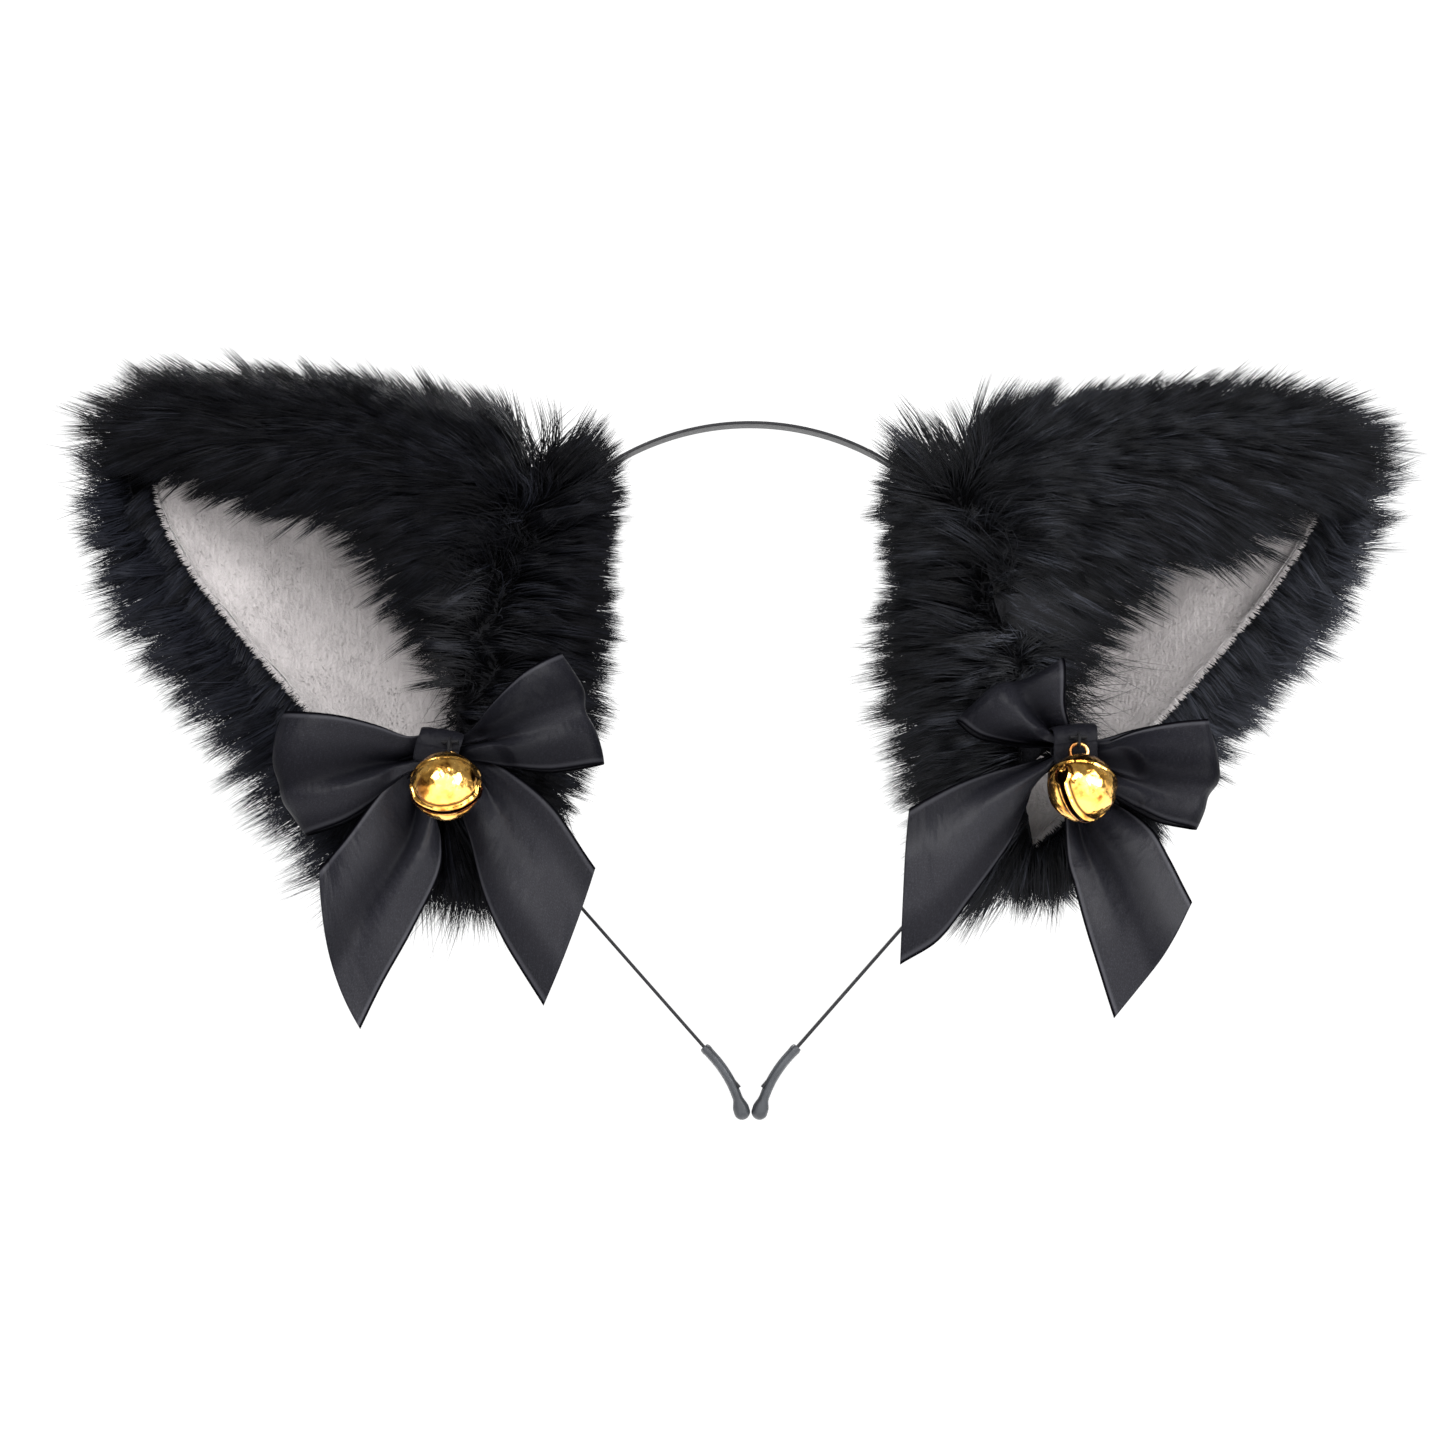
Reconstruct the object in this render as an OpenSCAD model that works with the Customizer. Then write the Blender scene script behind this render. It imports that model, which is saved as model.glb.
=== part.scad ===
// Furry animal ears on a sprung steel headband, with a satin bow and a jingle bell on each ear.
// Millimetres, +Z up as worn, +X to the viewer's right, the front faces -Y.
// The origin is the centre of the band's round crown, which is where the head sits.
// "left" and "right" are the viewer's left (-X) and right (+X).
// Places on one side are written as [outboard, up] pairs and mirrored for the left side.

/* [Band] */
// Inner radius of the round crown of the steel band
crown_r = 60; // [58:0.5:62]
// Thickness of the spring steel strip
band_t = 0.7; // [0.5:0.1:0.9]
// Width of the spring steel strip
band_w = 5; // [4:0.5:6]
// Radius of the longer arc between the crown and the straight leg
flank_r = 80; // [76:1:84]
// Angle from the top where the crown arc ends
crown_end = 100; // [96:1:104]
// Angle from the top where the flank arc ends and the straight leg starts
flank_end = 131.6; // [130:0.2:133]
// Length of the straight leg, with the part inside the tip cap
leg_len = 57; // [54:0.5:58]
// Angle from the top where the band's crown piece ends and each side piece starts
flex_angle = 14; // [10:1:18]

/* [Ear sleeve] */
// Thickness of the felt tape that is wrapped round the band under each ear
sleeve_t = 0.7; // [0.5:0.1:1]
// Angle from the top where the sleeve starts
sleeve_from = 34; // [30:1:38]

/* [Ears] */
// Half the width of the ear's fabric at its base
ear_half_w = 42; // [38:1:44]
// Half the depth of the ear's fabric at its base
ear_half_d = 18; // [16:1:20]
// Length of the fur pile that stands solid on the ear's outside
pile = 13; // [10:0.5:14]
// Outboard place of the left ear's tip
left_tip_out = 136; // [130:1:140]
// Height of the left ear's tip
left_tip_up = 50; // [46:1:54]
// Outboard place of the right ear's tip
right_tip_out = 130; // [126:1:140]
// Height of the right ear's tip
right_tip_up = 47; // [44:1:52]
// How far round the left ear's upper flap comes over the front, from the back of the ear
left_flap = 156; // [150:1:165]
// How far round the right ear's upper flap comes over the front, from the back of the ear
right_flap = 168; // [155:1:172]

/* [Bow] */
// Thickness that a folded ribbon takes up
ribbon_t = 1; // [0.8:0.1:1.2]
// Width of the wrap over the middle of the bow
knot_w = 9.4; // [8.6:0.2:10]
// Height of the wrap over the middle of the bow
knot_h = 8; // [7:0.5:9]

/* [Bell] */
// Outer diameter of the jingle bell
bell_d = 15; // [14.5:0.1:15.2]
// Wall of the bell's pressed sheet
bell_wall = 0.5; // [0.4:0.05:0.6]
// Diameter of the loose pellet inside the bell
pellet_d = 4; // [3.5:0.1:4.5]

/* [Hidden] */
SIDES = [["left", -1], ["right", 1]];

$fn = 96;
steel = [0.08, 0.08, 0.085];
rubber = [0.13, 0.14, 0.15];
felt = [0.1, 0.1, 0.1];
fur_black = [0.05, 0.05, 0.06];
plush = [0.84, 0.81, 0.79];
interlining = [0.75, 0.75, 0.72];
satin = [0.13, 0.13, 0.15];
brass = [0.86, 0.64, 0.2];
thread = [0.04, 0.04, 0.04];

clear = 0.1;              // gap between pieces of one body that lie face to face
seat = 0.05;              // gap between the band and the sleeve or cap around it

// ---- Band ------------------------------------------------------------------------------------

flex_gap = 0.5;           // gap between the crown piece and a side piece, where the band flexes
mid_r = crown_r + band_t / 2;

// A point at radius r and angle a from the top, as [outboard, up]
function at(r, a, centre = [0, 0]) = centre + r * [sin(a), cos(a)];

flank_centre = at(crown_r - flank_r, crown_end);
leg_start = at(flank_r + band_t / 2, flank_end, flank_centre);
leg_dir = [cos(flank_end), -sin(flank_end)];
function on_leg(t) = leg_start + t * leg_dir;

// Carries a drawing in the [outboard, up] plane to a plate of width w centred on Y = 0
module plate(w, side = 1) {
    mirror([side < 0 ? 1 : 0, 0, 0])
    rotate([90, 0, 0])
    linear_extrude(w, center = true)
    children();
}

// A sector of a flat ring between two angles from the top
module arc_band(r_in, r_out, from, to, centre = [0, 0]) {
    reach = 1.6 * r_out;
    mid = (from + to) / 2;
    translate(centre)
    intersection() {
        difference() {
            circle(r_out, $fn = 180);
            circle(r_in, $fn = 180);
        }
        polygon([[0, 0], at(reach, from), at(reach, mid), at(reach, to)]);
    }
}

// A bar of thickness t from point p to point q
module bar_2d(p, q, t) {
    d = q - p;
    n = t / 2 * [-d[1], d[0]] / norm(d);
    polygon([p + n, p - n, q - n, q + n]);
}

module band_crown() {
    half_gap = flex_gap / 2 / mid_r * 180 / PI;
    color(steel)
    plate(band_w)
    arc_band(crown_r, crown_r + band_t, -flex_angle + half_gap, flex_angle - half_gap);
}

module band_side(side) {
    half_gap = flex_gap / 2 / mid_r * 180 / PI;
    lap = 0.2;            // angle that the strip's arcs run into the next part, to make one piece
    color(steel)
    plate(band_w, side) {
        arc_band(crown_r, crown_r + band_t, flex_angle + half_gap, crown_end + lap);
        arc_band(flank_r, flank_r + band_t, crown_end, flank_end + lap, flank_centre);
        bar_2d(on_leg(0), on_leg(leg_len), band_t);
    }
}

// ---- Tip cap ---------------------------------------------------------------------------------

cap_w = 6.4;              // width of the cap across the strip
cap_t = 2.3;              // thickness of the cap's sleeve
cap_from = 45;            // where the cap starts along the leg
bulb_r = 1.8;             // round end of the cap
bulb_at = [bulb_r + 0.15, -98];
cap_bend = on_leg(56);    // where the cap turns down towards its round end

module tip_cap(side) {
    color(rubber)
    difference() {
        plate(cap_w, side) {
            bar_2d(on_leg(cap_from), cap_bend, cap_t);
            translate(cap_bend) circle(cap_t / 2);
            bar_2d(cap_bend, bulb_at, cap_t);
            translate(bulb_at) circle(bulb_r);
        }
        plate(band_w + 2 * seat, side)
        bar_2d(on_leg(cap_from - 1), on_leg(leg_len + seat), band_t + 2 * seat);
    }
}

// ---- Felt sleeve sewn round the band ---------------------------------------------------------

module ear_sleeve(side) {
    inner = crown_r - seat - sleeve_t;
    outer = crown_r + band_t + seat + sleeve_t;
    color(felt)
    difference() {
        plate(band_w + 2 * (seat + sleeve_t), side)
        arc_band(inner, outer, sleeve_from, crown_end);
        plate(band_w + 2 * seat, side)
        arc_band(crown_r - seat, crown_r + band_t + seat, sleeve_from - 1, crown_end + 1);
    }
}

// ---- Ear -------------------------------------------------------------------------------------
// The ear is a cup. Its section at s (0 at the base, 1 at the tip) is an ellipse in the plane of
// "across" and Y, drawn from the lower rim (phi about -98), round the back (0) and over the top
// (90) to the edge of the upper flap, which folds over the front.

ear_base = [66, 5];       // middle of the ear's base
ear_depth_mid = -4;       // Y of the middle of the cup
rim_phi = -98;            // where the lower rim lies on the section
base_lean = 105;          // angle of the base across the ear
tip_lean = 127;           // angle across the ear at its tip
axis_bulge = 2;           // how far the ear's axis bows up at its middle

function ear_tip(side) = side < 0 ? [left_tip_out, left_tip_up] : [right_tip_out, right_tip_up];
function ear_flap(side) = side < 0 ? left_flap : right_flap;
function across(s) = [cos(base_lean + (tip_lean - base_lean) * s),
                      sin(base_lean + (tip_lean - base_lean) * s)];
function ear_axis(s, side) = ear_base + s * (ear_tip(side) - ear_base)
    + axis_bulge * sin(180 * s) * across(s);
function taper(s) = sqrt(max(0, 1 - s));

// A point on the ear's section at s and phi, d outside the fabric, reach along the ear beyond it
function ear_point(s, phi, d, side, reach = 0) =
    let(dir = ear_tip(side) - ear_base,
        c = ear_axis(s, side) + reach * dir / norm(dir)
            + (ear_half_w * taper(s) + d) * sin(phi) * across(s))
    [side * c[0], ear_depth_mid + (ear_half_d * taper(s) + d) * cos(phi), c[1]];

// A curved sheet between two grids of points with ni by nj points each
module thick_sheet(outer, inner, ni, nj) {
    n = ni * nj;
    points = concat(outer, inner);
    function o(i, j) = i * nj + j;
    function m(i, j) = n + i * nj + j;
    cells = [for (i = [0 : ni - 2]) for (j = [0 : nj - 2]) [i, j]];
    faces = concat(
        [for (c = cells) [o(c[0], c[1]), o(c[0] + 1, c[1]), o(c[0] + 1, c[1] + 1)]],
        [for (c = cells) [o(c[0], c[1]), o(c[0] + 1, c[1] + 1), o(c[0], c[1] + 1)]],
        [for (c = cells) [m(c[0], c[1]), m(c[0] + 1, c[1] + 1), m(c[0] + 1, c[1])]],
        [for (c = cells) [m(c[0], c[1]), m(c[0], c[1] + 1), m(c[0] + 1, c[1] + 1)]],
        [for (j = [0 : nj - 2]) [o(0, j), o(0, j + 1), m(0, j + 1)]],
        [for (j = [0 : nj - 2]) [o(0, j), m(0, j + 1), m(0, j)]],
        [for (j = [0 : nj - 2]) [o(ni - 1, j + 1), o(ni - 1, j), m(ni - 1, j)]],
        [for (j = [0 : nj - 2]) [o(ni - 1, j + 1), m(ni - 1, j), m(ni - 1, j + 1)]],
        [for (i = [0 : ni - 2]) [o(i + 1, 0), o(i, 0), m(i, 0)]],
        [for (i = [0 : ni - 2]) [o(i + 1, 0), m(i, 0), m(i + 1, 0)]],
        [for (i = [0 : ni - 2]) [o(i, nj - 1), o(i + 1, nj - 1), m(i + 1, nj - 1)]],
        [for (i = [0 : ni - 2]) [o(i, nj - 1), m(i + 1, nj - 1), m(i, nj - 1)]]);
    polyhedron(points, faces);
}

// One layer of the ear, between d_in and d_out from the fabric, up to s_in and s_out.
// reach is how far the outer surface runs on past the tip, where it thins away.
module ear_layer(side, d_in, d_out, s_in, s_out, reach = 0) {
    ni = 10;
    nj = 13;
    thinning = reach > 0 ? 0.9 : 0;
    function phi(j) = rim_phi + (ear_flap(side) - rim_phi) * j / (nj - 1);
    function grid(d, s_end, r) = [for (i = [0 : ni - 1]) for (j = [0 : nj - 1])
        let(s = s_end * i / (ni - 1))
        ear_point(s, phi(j), d * (1 - thinning * pow(s, 5)), side, r * s * s)];
    outer = grid(d_out, s_out, reach);
    inner = grid(d_in, s_in, 0);
    thick_sheet(side > 0 ? outer : inner, side > 0 ? inner : outer, ni, nj);
}

lining_from = -3.4;       // the layers' places, as distances outside the fur's backing cloth
lining_to = -2;
stiffener_to = -1;
cup_end = 0.88;           // where the lining and the stiffener end, short of the tip

module ear_fur(side) {
    color(fur_black)
    ear_layer(side, stiffener_to + clear, pile, cup_end + 0.03, 1, 14);
}

module ear_stiffener(side) {
    color(interlining)
    ear_layer(side, lining_to + clear, stiffener_to, cup_end, cup_end);
}

module ear_lining(side) {
    color(plush)
    ear_layer(side, lining_from, lining_to, cup_end, cup_end);
}

// The strip of fur that is wrapped over the ear's base seam, in front of the band
base_fur_back = -8.2;     // clears the sleeve while the ear tilts
base_fur_front = -20;
base_gap = 0.6;           // between the strip and the open end of the ear

module base_fur(side) {
    function seam(k) = ear_base - [base_gap, 0] + k * across(0);
    color(fur_black)
    translate([0, (base_fur_front + base_fur_back) / 2, 0])
    plate(base_fur_back - base_fur_front, side)
    polygon([seam(45), [50, 57], [36, 54], [33, 30], [36, 8], [47, -28], [60, -42], seam(-43)]);
}

// Seam stitches that hold the ear's base to the strip of fur: short bars across the base gap
module seam_thread(side) {
    stitch = [0.5, 1.2];
    color(thread)
    for (k = [-32 : 16 : 32]) {
        p = ear_base + k * across(0);
        translate([side * (p[0] - base_gap / 2), base_fur_back - 3, p[1]])
        rotate([0, side * (90 - base_lean), 0])
        cube([stitch[0], stitch[1], stitch[1]], center = true);
    }
}

// ---- Bow -------------------------------------------------------------------------------------

knot_places = [[-68.2, -18.2], [70.4, -17.2]];   // [x, up] of the left and the right knot
knot_back = -24;
knot_front = -33;
bow_back = -23;           // Y of the back of the bow's loops
tail_y = -29;             // Y of the middle of the tails
tail_fold = -38;          // height of the line where a tail bends away from the ear

function pick(pair, side) = side < 0 ? pair[0] : pair[1];
function knot(side) = pick(knot_places, side);

module knot_wrap(side) {
    k = knot(side);
    color(satin)
    translate([k[0], (knot_back + knot_front) / 2, k[1]])
    cube([knot_w, knot_back - knot_front, knot_h], center = true);
}

// A loop of ribbon: pinched at the knot, full width at its outer end
module bow_loop(side, ends, depth) {
    k = knot(side);
    dir = sign(ends[0][0] * side - k[0]);
    color(satin)
    hull() {
        translate([k[0] + dir * (knot_w / 2 + clear + 0.5), (knot_back + knot_front) / 2, k[1]])
        cube([1, 5, knot_h - 2], center = true);
        for (e = ends)
            translate([side * e[0] - dir * depth / 2, bow_back - depth / 2, e[1]])
            rotate([90, 0, 0])
            cylinder(h = 0.01 + depth / 2, r = depth / 2, center = true, $fn = 24);
    }
}

outer_loop_ends = [[[104, -11], [99, -34]], [[102, -12], [98, -32]]];
inner_loop_ends = [[[43, 2], [35, -17]], [[56.4, 1], [44, -10]]];

// Outlines of the tails below the fold, and of the ribbon above it
tail_outer_outline = [
    [[72, tail_fold], [91, tail_fold], [94.5, -45], [85.2, -79], [70.5, -48]],
    [[70, tail_fold], [89.5, tail_fold], [96.5, -51.5], [78.8, -77], [71, -50]]];
tail_inner_outline = [
    [[62, tail_fold], [38, tail_fold], [33, -44], [45.4, -74], [55, -59]],
    [[58, tail_fold], [34, tail_fold], [32.4, -65], [50, -50]]];
fold_gap = 0.9;           // open gap along the fold, so that the tail can lift

module tail(side, outline) {
    color(satin)
    translate([0, tail_y, 0])
    plate(ribbon_t, side)
    difference() {
        polygon(outline);
        translate([0, tail_fold - fold_gap / 2]) square([200, 10]);
    }
}

module tail_ribbon(side) {
    top = knot(side)[1] - knot_h / 2 - clear;
    k = abs(knot(side)[0]);
    outer = pick(tail_outer_outline, side);
    inner = pick(tail_inner_outline, side);
    low = tail_fold + fold_gap / 2;
    color(satin)
    translate([0, tail_y, 0])
    plate(ribbon_t, side)
    polygon([[k - 4, top], [k + 4, top], [outer[1][0] - 1, low], [outer[0][0], low],
             [k, top - 6], [inner[0][0], low], [inner[1][0] + 1, low]]);
}

// ---- Bell ------------------------------------------------------------------------------------

bell_r = bell_d / 2;
bar_r = 0.35;             // stitch bar on the knot
link_r = [2, 1.5];        // left and right thread link that hangs on the bar
link_t = 0.3;
ring_r = 1.9;             // wire loop on top of the bell
ring_t = 0.45;
play = 0.1;               // gap between the bar, the link and the loop where they hang
bell_x = [-65.4, 70.6];   // x of the left and the right bell
bar_y = knot_front - 2.4;
function bar_z(side) = knot(side)[1] + 0.8;
function link_mid_z(side) = bar_z(side) + play + bar_r + link_t - pick(link_r, side);
function ring_mid_z(side) = link_mid_z(side) - pick(link_r, side) + play + link_t + ring_t - ring_r;
ring_out = bell_r + ring_r - 0.6;           // from the bell's middle to its loop's middle
bell_tilt = [48, 25];     // how far the crown of each bell leans back
slot_turn = [4, 48];      // how far each slot is turned about the bell's axis
slot_w = 1.1;
slot_hole_r = 1.5;
slot_hole_phi = 106;      // angle from the bell's crown to each end hole of the slot
function bell_mid(side) = [pick(bell_x, side),
                           bar_y - ring_out * sin(pick(bell_tilt, side)),
                           ring_mid_z(side) - ring_out * cos(pick(bell_tilt, side))];

module bell_stitch(side) {
    span = 3.6;
    color(thread)
    translate([pick(bell_x, side), 0, bar_z(side)]) {
        translate([0, bar_y, 0])
        rotate([0, 90, 0])
        cylinder(h = span, r = bar_r, center = true, $fn = 24);
        for (e = [-1, 1])
            translate([e * (span / 2 - bar_r), (bar_y + knot_front - clear) / 2, 0])
            cube([2 * bar_r, knot_front - clear - bar_y, 2 * bar_r], center = true);
    }
}

module torus(r, t) {
    rotate_extrude($fn = 48)
    translate([r, 0])
    circle(t, $fn = 24);
}

module bell_thread(side) {
    color(thread)
    translate([pick(bell_x, side), bar_y, link_mid_z(side)])
    rotate([0, 90, 0])
    torus(pick(link_r, side), link_t);
}

// The bell's own frame: its crown points up before it is tilted
module bell_frame(side) {
    translate(bell_mid(side))
    rotate([-pick(bell_tilt, side), 0, 0])
    children();
}

module bell_loop(side) {
    color(brass)
    difference() {
        translate([pick(bell_x, side), bar_y, ring_mid_z(side)])
        rotate([90, 0, 0])
        torus(ring_r, ring_t);
        bell_frame(side) sphere(bell_r + 0.02);
    }
}

module bell_shell(side) {
    color(brass)
    bell_frame(side)
    rotate([0, 0, pick(slot_turn, side)])
    difference() {
        sphere(bell_r);
        sphere(bell_r - bell_wall);
        translate([-bell_r, -slot_w / 2, -2 * bell_r])
        cube([2 * bell_r, slot_w, 2 * bell_r]);
        for (e = [-1, 1])
            rotate([0, e * slot_hole_phi, 0])
            translate([0, 0, bell_r / 2])
            cylinder(h = bell_r, r = slot_hole_r, $fn = 32);
    }
}

module bell_pellet(side) {
    drop = bell_r - bell_wall - pellet_d / 2 - 0.15;
    color(brass)
    translate(bell_mid(side) - [0, 0, drop])
    sphere(pellet_d / 2, $fn = 48);
}

// ---- Assembly --------------------------------------------------------------------------------

band_crown();
for (s = SIDES) {
    band_side(s[1]);
    tip_cap(s[1]);
    ear_sleeve(s[1]);
    ear_fur(s[1]);
    ear_lining(s[1]);
    ear_stiffener(s[1]);
    base_fur(s[1]);
    seam_thread(s[1]);
    bow_loop(s[1], pick(outer_loop_ends, s[1]), 9);
    bow_loop(s[1], pick(inner_loop_ends, s[1]), 9);
    tail_ribbon(s[1]);
    tail(s[1], pick(tail_outer_outline, s[1]));
    tail(s[1], pick(tail_inner_outline, s[1]));
    knot_wrap(s[1]);
    bell_stitch(s[1]);
    bell_thread(s[1]);
    bell_loop(s[1]);
    bell_shell(s[1]);
    bell_pellet(s[1]);
}
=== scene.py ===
"""Looks for the animal ears headband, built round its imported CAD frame.

Lengths are in millimetres, turned to metres when a mesh is made. "left" and "right" are the viewer's:
side -1 is left (-X), side +1 right (+X). Places on one side are (outboard, up), mirrored for the left.
"""

import math

import bpy
import numpy as np
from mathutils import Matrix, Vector


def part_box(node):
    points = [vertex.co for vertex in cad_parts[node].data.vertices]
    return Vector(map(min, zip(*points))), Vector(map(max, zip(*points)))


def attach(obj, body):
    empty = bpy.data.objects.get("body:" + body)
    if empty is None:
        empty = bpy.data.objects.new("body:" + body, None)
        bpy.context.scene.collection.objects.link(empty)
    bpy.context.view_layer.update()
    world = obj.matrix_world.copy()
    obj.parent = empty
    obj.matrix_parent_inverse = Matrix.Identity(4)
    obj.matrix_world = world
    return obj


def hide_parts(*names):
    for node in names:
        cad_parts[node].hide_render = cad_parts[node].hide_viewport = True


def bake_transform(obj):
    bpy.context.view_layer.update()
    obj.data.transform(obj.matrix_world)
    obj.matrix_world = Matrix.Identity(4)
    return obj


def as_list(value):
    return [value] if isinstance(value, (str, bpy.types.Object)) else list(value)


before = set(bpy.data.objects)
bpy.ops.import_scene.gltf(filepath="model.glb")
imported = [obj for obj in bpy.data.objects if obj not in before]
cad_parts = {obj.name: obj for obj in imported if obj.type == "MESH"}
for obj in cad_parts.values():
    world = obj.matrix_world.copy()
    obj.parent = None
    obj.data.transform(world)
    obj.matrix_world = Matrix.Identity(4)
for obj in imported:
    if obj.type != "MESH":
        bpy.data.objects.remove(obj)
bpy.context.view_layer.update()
scene = bpy.context.scene

MM = 0.001
LEFT, RIGHT = -1, 1
NAMES = {LEFT: "left", RIGHT: "right"}
UP = np.array([0.0, 0.0, 1.0])


# ---- Camera ----

def make_camera():
    data = bpy.data.cameras.new("camera")
    data.sensor_width = 36.0
    data.lens = 65.4
    camera = bpy.data.objects.new("camera", data)
    scene.collection.objects.link(camera)
    camera.location = Vector((-6.4, -600.0, -75.0)) * MM
    target = Vector((-6.4, 0.0, -9.4)) * MM
    camera.rotation_euler = (target - camera.location).to_track_quat("-Z", "Y").to_euler()
    data.clip_start, data.clip_end = 0.01, 20.0
    scene.camera = camera


make_camera()


# ---- Small tools ----

def unit(v):
    return v / np.maximum(np.linalg.norm(v, axis=-1, keepdims=True), 1e-9)


def smooth(x):
    x = np.clip(x, 0, 1)
    return x * x * (3 - 2 * x)


def lerp(a, b, t):
    return a + (b - a) * t


def signed_power(x, power):
    return np.sign(x) * np.abs(x) ** power


def hump(x, width, power=2):
    return np.exp(-(x / width) ** power)


def ring(count):
    """Angles evenly round a circle."""
    return np.linspace(0, 2 * np.pi, count + 1)[:-1]


def through(points, t):
    """A smooth curve through the points, read at t from 0 to 1."""
    p = np.asarray(points, float)
    n = len(p) - 1
    t = np.clip(np.asarray(t, float), 0, 1) * n
    i = np.minimum(t.astype(int), n - 1)
    f = (t - i)[..., None]
    a, b, c, d = (p[np.clip(i + k, 0, n)] for k in (-1, 0, 1, 2))
    a = np.where((i == 0)[..., None], 2 * b - c, a)
    d = np.where((i == n - 1)[..., None], 2 * c - b, d)
    return 0.5 * (2 * b + (c - a) * f + (2 * a - 5 * b + 4 * c - d) * f ** 2
                  + (3 * b - a - 3 * c + d) * f ** 3)


def waves(points, length, seed, count=7):
    """Smooth noise from -1 to 1 at each point, one value for each axis."""
    rng = np.random.default_rng(seed)
    k = unit(rng.normal(size=(count, 3))) * (2 * np.pi / length) * rng.uniform(0.6, 1.6, (count, 1))
    phase = rng.uniform(0, 2 * np.pi, (count, 3))
    return np.sin((points @ k.T)[..., None] + phase).sum(-2) / count * 1.6


def new_object(name, verts, faces, material):
    """A mesh object from points in millimetres."""
    mesh = bpy.data.meshes.new(name)
    faces = np.asarray(faces, np.int32)
    sides = faces.shape[1]
    mesh.vertices.add(len(verts))
    mesh.vertices.foreach_set("co", (np.asarray(verts) * MM).astype(np.float32).ravel())
    mesh.loops.add(faces.size)
    mesh.loops.foreach_set("vertex_index", faces.ravel())
    mesh.polygons.add(len(faces))
    mesh.polygons.foreach_set("loop_start", np.arange(0, faces.size, sides, dtype=np.int32))
    mesh.update(calc_edges=True)
    mesh.polygons.foreach_set("use_smooth", np.ones(len(faces), bool))
    obj = bpy.data.objects.new(name, mesh)
    scene.collection.objects.link(obj)
    mesh.materials.append(material)
    return obj


def grid_faces(rows, cols, wrap_cols=False, flip=False):
    across = cols if wrap_cols else cols - 1
    i, j = (x.ravel() for x in np.meshgrid(np.arange(rows - 1), np.arange(across), indexing="ij"))
    start, after = i * cols, (j + 1) % cols
    quads = np.stack([start + j, start + cols + j, start + cols + after, start + after], 1)
    return quads[:, ::-1] if flip else quads


def grid_object(name, points, material, **how):
    rows, cols = points.shape[:2]
    return new_object(name, points.reshape(-1, 3), grid_faces(rows, cols, **how), material)


def set_map(obj, name, u, v):
    """A texture map from u and v at each corner of each face."""
    layer = obj.data.uv_layers.new(name=name)
    layer.data.foreach_set("uv", np.stack([u, v], -1).astype(np.float32).ravel())


def mark(obj, name, values):
    """Store one number at each vertex for a material to read."""
    layer = obj.data.attributes.new(name, "FLOAT", "POINT")
    layer.data.foreach_set("value", np.asarray(values, np.float32).ravel())


def modify(obj, kind, **values):
    modifier = obj.modifiers.new(kind.lower(), kind)
    for key, value in values.items():
        setattr(modifier, key, value)


def thicken(obj, thickness, offset=-1, **more):
    modify(obj, "SOLIDIFY", thickness=thickness * MM, offset=offset, **more)


def run_along(path):
    """The length along a path at each of its points."""
    return np.concatenate([[0], np.cumsum(np.linalg.norm(np.diff(path, axis=0), axis=1))])


def apply_modifiers(obj):
    bpy.context.view_layer.update()
    evaluated = obj.evaluated_get(bpy.context.evaluated_depsgraph_get())
    mesh = bpy.data.meshes.new_from_object(evaluated)
    obj.modifiers.clear()
    obj.data = mesh


def finish_piece(obj, side, body, replaced=None):
    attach(obj, f"{body}_{NAMES[side]}")
    if replaced:
        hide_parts(f"{replaced}_{NAMES[side]}")


# ---- Materials ----

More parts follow.
